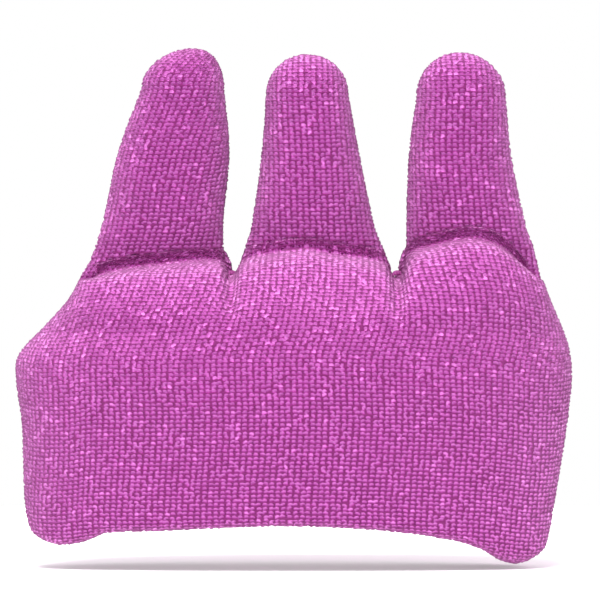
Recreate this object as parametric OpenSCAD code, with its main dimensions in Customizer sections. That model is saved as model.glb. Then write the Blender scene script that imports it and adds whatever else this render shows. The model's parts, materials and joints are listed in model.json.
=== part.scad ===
// Moving mouth hand puppet: a terry head with three stuffed horns, a wide mouth
// that the hand inside opens and shuts, and a sleeve that ends in a hem.
// +Z is up, +Y is the way that the face looks, and +X is to the right as seen from behind.
// The origin is in the middle of the hand opening, at the lowest point of the hem.
// The side seams lie in the plane y = 0.

/* [Head and sleeve] */
// Width across the corners of the mouth
body_w = 183; // [170:1:195]
// Depth of the back behind the side seams
back_depth = 36; // [32:1:40]
// Reach of the lips in front of the side seams
lip_reach = 58; // [55:1:60]
// Height of the crown, where the horns are sewn in
crown_z = 98; // [97:0.5:99]
// Height of the hem in the middle of the back
hem_rise = 14; // [8:1:16]
// Thickness of the terry cloth with its loops
cloth_t = 2.5; // [2:0.1:2.6]

/* [Mouth] */
// Height of the line between the lips
mouth_z = 66; // [65:0.5:66.5]
// How far the jaw hangs open at rest, in degrees
jaw_droop = 4; // [3:0.5:5]
// Thickness of each stiff mouth board
board_t = 2; // [1.5:0.1:2.2]
// Thickness of the felt that lines the mouth
felt_t = 1.2; // [0.8:0.1:1.4]
// Thickness of the tongue
tongue_t = 1.5; // [1:0.1:1.6]
// How far the tongue sticks out past the lips
tongue_out = 8; // [2:1:12]

/* [Horns] */
// Height of the line on which the horns flop to and fro
horn_hinge_z = 102; // [101.5:0.5:103]
// Half the thickness of a horn, from back to front
horn_half_t = 11.5; // [10:0.5:11.5]
// Room between the round foot of a horn and the hollow that it sits in
horn_room = 1.5; // [1:0.1:1.8]

/* [Eyes] */
// Distance between the middles of the eyes
eye_pitch = 50; // [40:1:60]
// Height of the eyes
eye_z = 82; // [80:0.5:83]
// Radius of the white felt behind each eye
eye_felt_r = 12; // [9:0.5:13]
// Radius of the black dome
eye_r = 6.5; // [5:0.5:8]

/* [Hidden] */

$fn = 48;
BACK = -1;
FRONT = 1;
terry = [0.80, 0.36, 0.74];
lining_red = [0.45, 0.05, 0.12];

// Outlines, as stations of [height, part of the full size]
left_side = [[0, 0.90], [10, 0.93], [20, 0.965], [48, 0.98], [62, 1], [70, 0.99],
             [80, 0.89], [88, 0.81], [98, 0.75]];
right_side = [[0, 0.85], [8, 0.90], [22, 0.94], [48, 0.985], [64, 1], [74, 0.985],
              [88, 0.92], [98, 0.88]];
back_bulge = [[0, 0.78], [8, 0.83], [22, 0.93], [58, 1], [80, 0.90], [90, 0.70], [98, 0.44]];
front_bulge = [[0, 0.66], [12, 0.70], [40, 0.86], [56, 0.97], [66, 1], [74, 0.99],
               [82, 0.93], [90, 0.76], [95, 0.52], [98, 0.33]];

square_up = 2.4;          // exponent of the cross-section: 2 is an ellipse, more is boxier
square_up_crown = 5;      // the same at the crown, where the horns need an even depth
seam_gap = 0.2;           // half the gap between two cloths at a seam
fit_gap = 0.4;            // gap between nested layers
hem_drop_left = 6.5;      // how much lower the hem is at its left corner
hem_depth = 11;           // height of the turned-in hem
hem_t = 1.5;
band_rise = 0.4;          // the hem band starts this far above the cloth's edge
lining_t = 1.2;
wadding_bottom_z = 27;
wadding_drop = 1.6;       // the wadding ends this far under the crown's edge
hand_space = 20;          // depth of the hand space behind the side seams
lips_gap = 0.6;           // each lip lining stands this far off the mouth line
lip_z = mouth_z + lips_gap;
chin_z = 48;              // underside of the chin, with the mouth shut
jaw_swing = 38;           // degrees that the jaw's back edge leaves free
board_inset = cloth_t + 0.9;
hinge_clear = 2.8;        // boards stop this far in front of the hinge line
trough_r = horn_half_t + horn_room;
pocket_half_w = 46;
pocket_reach = 34;
pocket_h = 16;
thumb_half_w = 18;
thumb_reach = 36;
thumb_h = 14;
pocket_t = 1.2;
eye_splay = 7;            // degrees that each eye looks outwards
shank_r = 2;              // the eye's shank goes through felt, cloth and washer
washer_r = 6;
washer_t = 1.2;
washer_back = 5.3;        // how far the washer's back lies under the outside of the cloth
foot_inset = 24;          // a horn's round foot is this much narrower than its base
edge_rise = 3.6;          // a horn's cloth starts this far above the crown at its sides
side_room = 1.5;          // how much thicker than its cloth the crown is at its sides
throat_gap = 1.9;         // the throat stays this far under the jaw
palm_top_z = 82;          // the back wadding closes over the hand from here up to
palm_shut_z = 87;         // here
fingers_top_z = 86.8;     // the same for the brow's wadding over the finger pocket
fingers_shut_z = 88.6;
seam_x = [-20.5, 34.2];   // where the seams between the horns are
seam_r = 1.6;
seam_length = 20;
label_at = [-45, -15.8];
label_size = [14, 0.5, 24];
columns = 24;             // steps across a panel
horn_columns = 12;
horn_rows = 9;
filling_rows = 12;
ring_points = 24;

// A horn: stations of [height, middle, half width] up to the round tip
left_horn = [[[98, -45, 22.6], [112, -43.3, 19.3], [137, -39.6, 18.2], [157, -37.4, 13.8]], 171];
middle_horn = [[[98, 6.8, 24.8], [112, 6, 20.2], [137, 5.4, 15.7], [155.5, 4.4, 13.3]], 168.8];
right_horn = [[[98, 58.2, 21.4], [112, 56.6, 19.8], [137, 54.7, 16.4], [155, 55.1, 14.4]], 169.5];

// ---- curves ----
function segment(z, p) = max([0, for (i = [1:len(p) - 2]) if (p[i][0] <= z) i]);
function slope(p, i, k) =
    let (a = p[max(0, i - 1)], b = p[min(len(p) - 1, i + 1)]) (b[k] - a[k]) / (b[0] - a[0]);
// smooth value at z of column k of the stations p, held level beyond both ends
function curve(z, p, k = 1) =
    let (i = segment(z, p), a = p[i], b = p[i + 1], h = b[0] - a[0],
         t = min(1, max(0, (z - a[0]) / h)),
         m = slope(p, i, k) * h, n = slope(p, i + 1, k) * h)
    (2 * t ^ 3 - 3 * t ^ 2 + 1) * a[k] + (t ^ 3 - 2 * t ^ 2 + t) * m
    + (3 * t ^ 2 - 2 * t ^ 3) * b[k] + (t ^ 3 - t ^ 2) * n;

function mix(a, b, t) = a + (b - a) * t;
function smooth(t) = let (c = min(1, max(0, t))) c * c * (3 - 2 * c);
function boxiness(z) = mix(square_up, square_up_crown, smooth((z - 76) / (crown_z - 76)));
function across(phi, n = square_up) = -sign(cos(phi)) * abs(cos(phi)) ^ (2 / n);
function outward(phi, n = square_up) = abs(sin(phi)) ^ (2 / n);

function left_x(z) = -body_w / 2 * curve(z, left_side);
function right_x(z) = body_w / 2 * curve(z, right_side);
function middle_x(z) = (left_x(z) + right_x(z)) / 2;
function half_w(z) = (right_x(z) - left_x(z)) / 2;
function depth(side, z) =
    side == BACK ? back_depth * curve(z, back_bulge) : lip_reach * curve(z, front_bulge);
// height of the hem, where s runs from -1 at the left seam to 1 at the right one
function hem_z(s) = hem_rise - (s < 0 ? hem_drop_left * abs(s) ^ 3 : hem_rise * s ^ 2.5);

// a point of the body's cross-section, inset by d from the outside of the cloth
function body_point(z, phi, side, d) =
    let (n = boxiness(z))
    [middle_x(z) + (half_w(z) - d) * across(phi, n),
     side * (seam_gap + (depth(side, z) - d - seam_gap) * outward(phi, n)), z];
// the same on a section of its own depth
function inner_point(z, phi, side, d, reach) =
    let (n = boxiness(z))
    [middle_x(z) + (half_w(z) - d) * across(phi, n),
     side * (seam_gap + (max(reach, seam_gap + 0.1) - seam_gap) * outward(phi, n)), z];

// ---- solids from grids of points ----
function flat_list(g) = [for (row = g) for (p = row) p];
function quad(a, b, c, d, flip) = flip ? [[a, c, b], [a, d, c]] : [[a, b, c], [a, c, d]];

// a sheet with thickness: two grids of the same size, walled along their four edges
module sheet(outer, inner, faces_front = false) {
    flip = !faces_front;
    rows = len(outer);
    cols = len(outer[0]);
    n = rows * cols;
    faces = [
        for (r = [0:rows - 2]) for (c = [0:cols - 2]) let (k = r * cols + c)
            for (f = quad(k, k + 1, k + cols + 1, k + cols, flip)) f,
        for (r = [0:rows - 2]) for (c = [0:cols - 2]) let (k = n + r * cols + c)
            for (f = quad(k, k + 1, k + cols + 1, k + cols, !flip)) f,
        for (c = [0:cols - 2]) for (f = quad(c, n + c, n + c + 1, c + 1, flip)) f,
        for (c = [0:cols - 2]) let (k = (rows - 1) * cols + c)
            for (f = quad(k, k + 1, n + k + 1, n + k, flip)) f,
        for (r = [0:rows - 2]) let (k = r * cols)
            for (f = quad(k, k + cols, n + k + cols, n + k, flip)) f,
        for (r = [0:rows - 2]) let (k = r * cols + cols - 1)
            for (f = quad(k, n + k, n + k + cols, k + cols, flip)) f,
    ];
    polyhedron(concat(flat_list(outer), flat_list(inner)), faces, convexity = 6);
}

// a closed form through a stack of rings
module loft(rings) {
    n = len(rings[0]);
    top = len(rings) - 1;
    faces = [
        [for (i = [n - 1:-1:0]) i],
        for (r = [0:top - 1]) for (i = [0:n - 1]) let (j = (i + 1) % n)
            for (f = quad(r * n + i, r * n + j, (r + 1) * n + j, (r + 1) * n + i, false)) f,
        [for (i = [0:n - 1]) top * n + i],
    ];
    polyhedron(flat_list(rings), faces, convexity = 4);
}

// cloth of the body between two heights that may change across it
module body_cloth(side, phi_from, phi_to, low, high, d, t, steps, cols = columns) {
    outer = [for (v = [0:steps]) [for (c = [0:cols])
        let (u = c / cols, z = mix(low(u), high(u), v / steps), p = mix(phi_from(z), phi_to(z), u))
        body_point(z, p, side, d)]];
    inner = [for (v = [0:steps]) [for (c = [0:cols])
        let (u = c / cols, z = mix(low(u), high(u), v / steps), p = mix(phi_from(z), phi_to(z), u))
        body_point(z, p, side, d + t)]];
    sheet(outer, inner, side == FRONT);
}

// wadding behind the cloth: its inner face has its own depth and side inset
module body_wadding(side, phi_from, phi_to, low, high, reach, side_inset, steps) {
    outer = [for (v = [0:steps]) [for (c = [0:columns])
        let (z = mix(low, high, v / steps), p = mix(phi_from(z), phi_to(z), c / columns))
        body_point(z, p, side, cloth_t + fit_gap)]];
    inner = [for (v = [0:steps]) [for (c = [0:columns])
        let (z = mix(low, high, v / steps), p = mix(phi_from(z), phi_to(z), c / columns))
        inner_point(z, p, side, side_inset(z), reach(z))]];
    sheet(outer, inner, side == FRONT);
}

// ---- head ----
module back_panel() {
    color(terry)
        body_cloth(BACK, function(z) 0, function(z) 180, function(u) hem_z(across(180 * u)),
                   function(u) crown_z, 0, cloth_t, 13);
}

module face_panel() {
    color(terry)
        difference() {
            body_cloth(FRONT, function(z) 0, function(z) 180, function(u) lip_z,
                       function(u) crown_z, 0, cloth_t, 9);
            for (side = [-1, 1])
                on_brow(side) translate([0, 0, -8]) cylinder(r = shank_r + fit_gap, h = 12, $fn = 24);
        }
}

// height of the top edge of the throat: under the chin, and up beside the jaw to the mouth corner
function throat_top(u) =
    let (y = depth(FRONT, chin_z + 8) * outward(180 * u))
    max(chin_z - throat_gap - y * tan(jaw_droop),
        mouth_z - throat_gap - y / tan(jaw_swing - jaw_droop));

module throat_panel() {
    color(terry)
        body_cloth(FRONT, function(z) 0, function(z) 180, function(u) hem_z(across(180 * u)),
                   function(u) throat_top(u), 0, cloth_t, 9);
}

module hem_band() {
    inset = cloth_t + fit_gap;
    rows = [0, 0.5, 1];
    ring = [for (v = rows) [for (c = [0:2 * columns - 1])
        let (a = 180 * c / columns, side = a < 180 ? BACK : FRONT, phi = a < 180 ? a : 360 - a,
             z = hem_z(across(phi)) + band_rise + hem_depth * v)
        [z, phi, side]]];
    outer = [for (r = ring) [for (q = r) body_point(q[0], q[1], q[2], inset)]];
    inner = [for (r = ring) [for (q = r) body_point(q[0], q[1], q[2], inset + hem_t)]];
    n = 2 * columns;
    m = 3 * n;
    faces = [
        for (r = [0:1]) for (i = [0:n - 1]) let (j = (i + 1) % n, k = r * n)
            for (f = quad(k + i, k + j, k + n + j, k + n + i, true)) f,
        for (r = [0:1]) for (i = [0:n - 1]) let (j = (i + 1) % n, k = m + r * n)
            for (f = quad(k + i, k + j, k + n + j, k + n + i, false)) f,
        for (i = [0:n - 1]) let (j = (i + 1) % n) for (f = quad(i, m + i, m + j, j, true)) f,
        for (i = [0:n - 1]) let (j = (i + 1) % n)
            for (f = quad(2 * n + i, 2 * n + j, m + 2 * n + j, m + 2 * n + i, true)) f,
    ];
    color(terry) polyhedron(concat(flat_list(outer), flat_list(inner)), faces, convexity = 6);
}

// half depth of the hollow in the crown that holds the feet of the horns
function trough(z) =
    let (h = horn_hinge_z - z) h < trough_r ? sqrt(trough_r ^ 2 - h ^ 2) : 0;
// inner depth of the wadding behind the hand and over the fingers
// a room of this reach below z from, which closes evenly up to z to
function closing(z, reach, from, to) = reach * min(1, max(0, to - z) / (to - from));
function back_room(z) = max(trough(z), closing(z, hand_space, palm_top_z, palm_shut_z));
function face_room(z) = max(trough(z), closing(z, pocket_reach + 3, fingers_top_z, fingers_shut_z));
// how far the room stays off the sides, less at the crown
function side_wall(z, full) = cloth_t + mix(full, side_room, smooth((z - 78) / 10));

module back_wadding() {
    color("ivory")
        body_wadding(BACK, function(z) 0, function(z) 180, wadding_bottom_z, crown_z - wadding_drop,
                     function(z) back_room(z), function(z) side_wall(z, 4), 26);
}

module face_wadding() {
    color("ivory")
        difference() {
            body_wadding(FRONT, function(z) 0, function(z) 180, lip_z + felt_t + board_t + 0.8,
                         crown_z - wadding_drop, function(z) face_room(z), function(z) side_wall(z, 6), 18);
            for (side = [-1, 1])
                on_brow(side) translate([0, 0, -16]) cylinder(r = washer_r + fit_gap, h = 16, $fn = 24);
        }
}

module sleeve_lining() {
    low = hem_rise + hem_depth + 1;
    outer = [for (v = [0:8]) let (z = mix(low, mouth_z - 3, v / 8)) [for (c = [0:columns])
        inner_point(z, 180 * c / columns, BACK, cloth_t + 4.4, hand_space - 0.4)]];
    inner = [for (v = [0:8]) let (z = mix(low, mouth_z - 3, v / 8)) [for (c = [0:columns])
        inner_point(z, 180 * c / columns, BACK, cloth_t + 4.4 + lining_t, hand_space - 0.4 - lining_t)]];
    color("whitesmoke") sheet(outer, inner);
}

// a flat-backed pocket, open at the back
module pocket(half_w, reach, h, t) {
    difference() {
        linear_extrude(h) half_oval(half_w, reach);
        translate([0, -1, t]) linear_extrude(h - 2 * t) half_oval(half_w - t, reach + 1 - t);
    }
}

module half_oval(half_w, reach) {
    polygon([for (i = [0:32]) [-half_w * cos(180 * i / 32), reach * sin(180 * i / 32)]]);
}

module finger_pocket() {
    color("whitesmoke")
        translate([0, 1, lip_z + felt_t + board_t + 0.3])
            pocket(pocket_half_w, pocket_reach, pocket_h, pocket_t);
}

// outline of a mouth board, clear of the hinge line
module mouth_plan(inset) {
    polygon([for (i = [0:48])
        let (phi = 180 * i / 48, p = body_point(mouth_z, phi, FRONT, inset))
        [p[0], max(p[1], hinge_clear)]]);
}

module upper_mouth_board() {
    color("dimgray") translate([0, 0, lip_z + felt_t]) linear_extrude(board_t) mouth_plan(board_inset);
}

module upper_mouth_lining() {
    color(lining_red) translate([0, 0, lip_z]) linear_extrude(felt_t) mouth_plan(board_inset);
}

module mouth_hinge_tape() {
    color(lining_red) translate([-80, 0, mouth_z]) rotate([0, 90, 0]) cylinder(r = 2, h = 160);
}

// puts its children on the brow, +Z outwards, on the outside of the cloth
module on_brow(side) {
    x = side * eye_pitch / 2 + middle_x(eye_z);
    s = abs(x - middle_x(eye_z)) / half_w(eye_z);
    full = (1 - s ^ square_up) ^ (1 / square_up);
    y = depth(FRONT, eye_z) * full;
    lean = atan2((depth(FRONT, eye_z - 3) - depth(FRONT, eye_z + 3)) * full, 6);
    translate([x, y, eye_z]) rotate([lean - 90, 0, -side * eye_splay]) children();
}

module eye_felt(side) {
    color("white") on_brow(side) translate([0, 0, 0.8])
        difference() {
            cylinder(r = eye_felt_r, h = 1.5);
            translate([0, 0, -1]) cylinder(r = shank_r + fit_gap, h = 4);
        }
}

module eye(side) {
    color("black") on_brow(side) {
        translate([0, 0, 2.5]) intersection() {
            sphere(r = eye_r);
            cylinder(r = eye_r + 1, h = eye_r + 1);
        }
        translate([0, 0, -7]) cylinder(r = shank_r, h = 9.6);
    }
}

module eye_washer(side) {
    color("white") on_brow(side) translate([0, 0, -washer_back])
        difference() {
            cylinder(r = washer_r, h = washer_t);
            translate([0, 0, -1]) cylinder(r = shank_r + 0.05, h = 4);
        }
}

module left_eye_felt() { eye_felt(-1); }
module right_eye_felt() { eye_felt(1); }
module left_eye() { eye(-1); }
module right_eye() { eye(1); }
module left_eye_washer() { eye_washer(-1); }
module right_eye_washer() { eye_washer(1); }

module care_label() {
    color("white") translate([label_at[0], label_at[1], hem_rise + hem_depth + 3]) cube(label_size);
}

// the short seams that close the crown between the horns
module notch_seams() {
    color(terry)
        for (x = seam_x)
            translate([x, 0, crown_z]) rotate([90, 0, 0])
                cylinder(r = seam_r, h = seam_length, center = true);
}

// ---- jaw: drawn shut, then hung on the hinge line at its rest angle ----
module jaw() {
    translate([0, 0, mouth_z]) rotate([-jaw_droop, 0, 0]) translate([0, 0, -mouth_z]) children();
}

// where the jaw's cloth begins at height z: it keeps in front of a line that swings free
function jaw_phi(z, d) =
    let (y = (mouth_z - z) * tan(jaw_swing) + 1 + d)
    asin(min(0.9, (y / (depth(FRONT, z) - d)) ^ (square_up / 2)));

module chin_panel() {
    color(terry) jaw()
        body_cloth(FRONT, function(z) jaw_phi(z, 0), function(z) 180 - jaw_phi(z, 0),
                   function(u) chin_z, function(u) mouth_z - lips_gap, 0, cloth_t, 6);
}

module chin_wadding() {
    color("ivory") jaw()
        body_wadding(FRONT, function(z) jaw_phi(z, cloth_t), function(z) 180 - jaw_phi(z, cloth_t),
                     chin_z + 0.4, mouth_z - lips_gap - felt_t - board_t - 0.4,
                     function(z) thumb_reach + 8, function(z) 22, 5);
}

module lower_mouth_board() {
    color("dimgray") jaw()
        translate([0, 0, mouth_z - lips_gap - felt_t - board_t])
            linear_extrude(board_t) mouth_plan(board_inset);
}

module lower_mouth_lining() {
    color(lining_red) jaw()
        translate([0, 0, mouth_z - lips_gap - felt_t]) linear_extrude(felt_t) mouth_plan(board_inset);
}

module thumb_pocket() {
    color("whitesmoke") jaw()
        translate([0, 4, mouth_z - lips_gap - felt_t - board_t - 0.3 - thumb_h])
            pocket(thumb_half_w, thumb_reach, thumb_h, pocket_t);
}

module tongue() {
    tip = lip_reach + tongue_out;
    color("crimson") jaw()
        translate([middle_x(mouth_z), 0, mouth_z - lips_gap + 0.05]) linear_extrude(tongue_t)
            hull() {
                translate([0, tip - 14]) circle(r = 14);
                translate([-13, lip_reach / 2]) square([26, 4]);
            }
}

// ---- horns ----
// half width and half thickness of a horn, which close in a circle at the tip
function tip_close(horn, z) =
    let (zc = horn[0][3][0], r = horn[1] - zc) z <= zc ? 1 : sqrt(max(0.0004, 1 - ((z - zc) / r) ^ 2));
function horn_x(horn, z) = curve(z, horn[0], 1);
function horn_w(horn, z) =
    (z <= horn[0][3][0] ? curve(z, horn[0], 2) : horn[0][3][2]) * tip_close(horn, z);
// the foot is round about the hinge line, so that it turns in its hollow
function horn_t(horn, z) =
    (z < horn_hinge_z ? sqrt(max(0.04, horn_half_t ^ 2 - (horn_hinge_z - z) ^ 2)) : horn_half_t)
    * tip_close(horn, z);
function horn_point(horn, z, phi, side, d) =
    [horn_x(horn, z) + max(0.3, horn_w(horn, z) - d) * across(phi),
     side * (seam_gap + max(0.2, horn_t(horn, z) - d - seam_gap) * outward(phi)), z];

module horn_cloth(horn, side) {
    // the cloth starts a little higher at the sides, where it swings close to the crown
    low = function(phi) crown_z + mix(edge_rise, 0.6, outward(phi));
    // rows crowd together towards the tip, where the outline turns
    rise = function(v) sin(90 * v / horn_rows) ^ 0.9;
    outer = [for (v = [0:horn_rows]) [for (c = [0:horn_columns])
        let (phi = 180 * c / horn_columns)
        horn_point(horn, mix(low(phi), horn[1] - 0.1, rise(v)), phi, side, 0)]];
    inner = [for (v = [0:horn_rows]) [for (c = [0:horn_columns])
        let (phi = 180 * c / horn_columns)
        horn_point(horn, mix(low(phi), horn[1] - cloth_t, rise(v)), phi, side, cloth_t)]];
    color(terry) sheet(outer, inner, side == FRONT);
}

module horn_filling(horn) {
    neck = crown_z + 0.5;
    inset = cloth_t + fit_gap;
    rings = [for (v = [0:filling_rows])
        let (z = mix(neck, horn[1] - inset - 0.5, sin(90 * v / filling_rows)),
             w = max(0.3, horn_w(horn, z) - inset), t = max(0.3, horn_t(horn, z) - inset))
        [for (i = [0:ring_points - 1]) let (a = 360 * i / ring_points)
            [horn_x(horn, z) + w * sign(cos(a)) * abs(cos(a)) ^ (2 / square_up),
             -t * sign(sin(a)) * abs(sin(a)) ^ (2 / square_up), z]]];
    foot_w = 2 * horn_w(horn, crown_z) - foot_inset;
    foot_r = horn_half_t - 0.3;
    color("ivory") {
        loft(rings);
        // the foot is part of a cylinder on the hinge line
        intersection() {
            translate([horn_x(horn, crown_z) - foot_w / 2, 0, horn_hinge_z]) rotate([0, 90, 0])
                cylinder(r = foot_r, h = foot_w);
            translate([horn_x(horn, crown_z) - foot_w, -2 * foot_r, horn_hinge_z - 2 * foot_r])
                cube([2 * foot_w, 4 * foot_r, 2 * foot_r - horn_hinge_z + crown_z + 0.2]);
        }
    }
}

module left_horn_back_cloth() { horn_cloth(left_horn, BACK); }
module left_horn_front_cloth() { horn_cloth(left_horn, FRONT); }
module left_horn_filling() { horn_filling(left_horn); }
module middle_horn_back_cloth() { horn_cloth(middle_horn, BACK); }
module middle_horn_front_cloth() { horn_cloth(middle_horn, FRONT); }
module middle_horn_filling() { horn_filling(middle_horn); }
module right_horn_back_cloth() { horn_cloth(right_horn, BACK); }
module right_horn_front_cloth() { horn_cloth(right_horn, FRONT); }
module right_horn_filling() { horn_filling(right_horn); }

back_panel();
face_panel();
throat_panel();
hem_band();
back_wadding();
face_wadding();
sleeve_lining();
finger_pocket();
upper_mouth_board();
upper_mouth_lining();
mouth_hinge_tape();
left_eye_felt();
right_eye_felt();
left_eye();
right_eye();
left_eye_washer();
right_eye_washer();
care_label();
notch_seams();
chin_panel();
chin_wadding();
lower_mouth_board();
lower_mouth_lining();
thumb_pocket();
tongue();
left_horn_back_cloth();
left_horn_front_cloth();
left_horn_filling();
middle_horn_back_cloth();
middle_horn_front_cloth();
middle_horn_filling();
right_horn_back_cloth();
right_horn_front_cloth();
right_horn_filling();
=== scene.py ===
import json
import math

import bmesh
import bpy
import numpy as np
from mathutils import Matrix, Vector


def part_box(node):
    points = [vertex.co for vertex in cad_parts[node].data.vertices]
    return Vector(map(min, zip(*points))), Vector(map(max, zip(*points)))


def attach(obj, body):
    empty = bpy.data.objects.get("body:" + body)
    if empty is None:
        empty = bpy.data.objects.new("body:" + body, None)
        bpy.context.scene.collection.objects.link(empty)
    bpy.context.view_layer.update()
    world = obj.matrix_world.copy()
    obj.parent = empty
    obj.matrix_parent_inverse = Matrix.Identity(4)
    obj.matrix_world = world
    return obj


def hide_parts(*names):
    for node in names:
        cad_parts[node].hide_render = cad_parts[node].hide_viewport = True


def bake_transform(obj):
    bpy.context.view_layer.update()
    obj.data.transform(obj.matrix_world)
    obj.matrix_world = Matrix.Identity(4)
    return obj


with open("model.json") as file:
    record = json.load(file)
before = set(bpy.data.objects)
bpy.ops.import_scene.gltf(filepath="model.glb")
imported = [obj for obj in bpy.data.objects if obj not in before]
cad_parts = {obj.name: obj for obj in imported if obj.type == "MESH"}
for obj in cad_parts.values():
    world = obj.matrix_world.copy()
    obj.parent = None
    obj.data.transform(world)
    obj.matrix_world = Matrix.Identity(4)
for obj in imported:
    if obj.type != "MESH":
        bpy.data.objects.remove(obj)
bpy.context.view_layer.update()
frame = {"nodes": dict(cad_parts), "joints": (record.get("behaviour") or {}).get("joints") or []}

# shapes are worked out in millimetres, and turned into metres when a mesh is made
joints = {j["name"]: j for j in frame["joints"]}
backLow, backHigh = [1000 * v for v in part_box("back_panel")]
bodyWidth = backHigh.x - backLow.x
backDepth = -backLow.y
lipReach = 1000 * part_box("face_panel")[1].y
crownZ = backHigh.z
mouthZ = 1000 * joints["mouth_hinge"]["pos_m"][2]

bodySettings = {
    # outlines, as [height, part of the full size]
    "leftSide": [[0, 0.925], [10, 0.945], [20, 0.968], [48, 0.98], [62, 1], [70, 0.99],
                 [80, 0.89], [88, 0.81], [98, 0.75]],
    "rightSide": [[0, 0.875], [8, 0.912], [22, 0.94], [48, 0.985], [64, 1], [74, 0.985],
                  [88, 0.92], [98, 0.88]],
    "backBulge": [[0, 0.66], [8, 0.73], [22, 0.84], [42, 0.95], [62, 1], [80, 0.90], [90, 0.70],
                  [94, 0.59]],
    "browBulge": [[0, 0.66], [12, 0.70], [40, 0.86], [56, 0.97], [66, 1], [74, 0.99],
                  [82, 0.93], [90, 0.76], [94, 0.58]],
    "shoulderZ": 94,          # from here up the cloth turns over to the foot of the horns
    "collarRise": 5,          # how far it runs up a horn's foot
    # how high the crease at the foot of the horns lies: [x, height]
    "backCrest": [[-80, 95], [-67, 97.5], [-45, 99.3], [-24, 100.4], [-20.5, 96.4], [-17, 100.6],
                  [3, 104], [13, 102.6], [30, 99.6], [34, 95.2], [38, 102.6], [46, 105.5],
                  [58, 108], [70, 106.5], [80, 101]],
    "browCrest": [[-80, 95], [-67, 97.5], [-45, 100], [-24, 99.6], [-20.5, 96.4], [-17, 99.6],
                  [6, 103], [30, 99], [34, 95.2], [38, 99.5], [57, 103.5], [70, 102.5], [80, 101]],
    # the bottom edge: [x, height]
    "hemLine": [[-88, 9.5], [-80, 7.4], [-71, 8.6], [-62, 11.6], [-45, 12.4], [-15, 13.8], [5, 14],
                [33, 12.2], [53, 9.2], [63, 6.4], [73, 2.2], [80, 1.2], [86, 4]],
    "squareUp": 2.4,          # 2 is an ellipse, more is boxier
    "squareUpCrown": 5,
    "proud": 0.4,             # the knit ground stands this far outside the CAD cloth
    "hemRadius": 2.4,
    "cornerRoll": 2.5,         # how much rounder the hem rolls at the side seams
    "lipRadius": 1.9,
    "lipGap": 0.45,           # from the middle of the mouth to each lip
    "seamDepth": 1.3,         # how far the cloth is drawn in along a seam
    "seamReach": 1.7,
    "tuck": 2.6,              # seam allowance turned inwards
    "tuckSpan": 0.03,         # the part of the way across that it takes
    "lumps": 0.5,             # height of the soft lumps of the stuffing
    "swellFrom": 72,          # the crease at the foot of the horns shows from this height up
    "throatHollow": 3.2,      # how far the throat falls in under the chin
    "chinDroop": 4,           # degrees that the jaw hangs open at rest
    "chinFrom": 34,           # the cloth hangs with the jaw from here up to
    "chinTo": 58,             # here
    # soft upright folds under the notches between the horns: [x, z, height, half width, half length]
    "backFolds": [[-11, 90, 1.0, 5, 9], [32, 87, 1.1, 5, 10], [62, 90, 0.5, 7, 9]],
}

hornSettings = {
    # each horn: [height, middle x, half width] up to where its round tip starts, and the tip's height
    "left": {"stations": [[90, -46.6, 26.8], [96, -46, 24.5], [101, -45, 22.3], [112, -43.4, 19.9],
                          [137, -39.6, 18], [157, -36.7, 13.4]],
             "tip": 172.0, "lean": 3.2, "origin": 0.2, "seed": 21},
    "middle": {"stations": [[90, 7, 23.8], [98, 7, 25], [112, 6.3, 20.2], [137, 5.4, 15.7],
                            [155.5, 4.4, 13.3]],
               "tip": 170.0, "lean": 0, "origin": 0.5, "seed": 22},
    "right": {"stations": [[90, 59.2, 23.6], [96, 58.8, 22.8], [101, 58.4, 21.8], [106, 57.9, 20.8],
                           [112, 56.8, 19.5], [137, 54.7, 16.4], [155, 55.1, 14.4]],
              "tip": 170.6, "lean": -0.6, "origin": 0.5, "seed": 23},
    # half the thickness: [height, mm]
    "thickness": [[90, 6], [97, 7.2], [103, 8.8], [110, 10.9], [120, 12.4], [140, 12.8], [155, 12.2]],
    "squareUp": 2.3,
    "proud": 0.8,
    "lumps": 0.45,
}

terrySettings = {
    "walePitch": 2.0,         # mm from one column of loops to the next
    "coursePitch": 1.4,
    "steps": 5,               # mesh steps for each loop, both ways
    "loopHalf": 0.34,
    "loopRadius": 0.58,
    "loopHeight": 1.25,
    "lean": 0.34,             # how much more a loop stands out at its lower edge
    "archBend": 0.30,
    "tilt": 0.38,
    "jitter": 0.09,
    "patchSize": 11,          # size of the patches in which the loops are disordered
}


def smoothStep(t):
    t = np.clip(t, 0, 1)
    return t * t * (3 - 2 * t)


def mix(a, b, t):
    return a + (b - a) * t


def curveAt(z, stations, column=1):  # smooth value at z, level beyond both ends
    knots = np.array(stations, float)
    x, y = knots[:, 0], knots[:, column]
    slope = np.concatenate([[(y[1] - y[0]) / (x[1] - x[0])], (y[2:] - y[:-2]) / (x[2:] - x[:-2]),
                            [(y[-1] - y[-2]) / (x[-1] - x[-2])]])
    i = np.clip(np.searchsorted(x, z, side="right") - 1, 0, len(x) - 2)
    h = x[i + 1] - x[i]
    t = np.clip((z - x[i]) / h, 0, 1)
    return ((2 * t**3 - 3 * t**2 + 1) * y[i] + (t**3 - 2 * t**2 + t) * slope[i] * h
            + (3 * t**2 - 2 * t**3) * y[i + 1] + (t**3 - t**2) * slope[i + 1] * h)


def roundSection(q, boxiness):  # q runs from 0 at the left seam to 1 at the right seam
    angle = np.pi * np.clip(q, 0, 1)
    c, s = np.cos(angle), np.sin(angle)
    reach = (np.abs(c)**boxiness + np.abs(s)**boxiness) ** (-1 / boxiness)
    return -c * reach, s * reach


def softNoise(a, b, size, seed, waves=9):  # smooth noise from about -1 to 1
    rng = np.random.default_rng(seed)
    total = 0
    for k in range(waves):
        angle = rng.uniform(0, 2 * np.pi)
        length = size * rng.uniform(0.7, 1.6)
        phase = rng.uniform(0, 2 * np.pi)
        total = total + np.sin(2 * np.pi * (a * np.cos(angle) + b * np.sin(angle)) / length + phase)
    return total / waves ** 0.5 * 0.8


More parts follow.
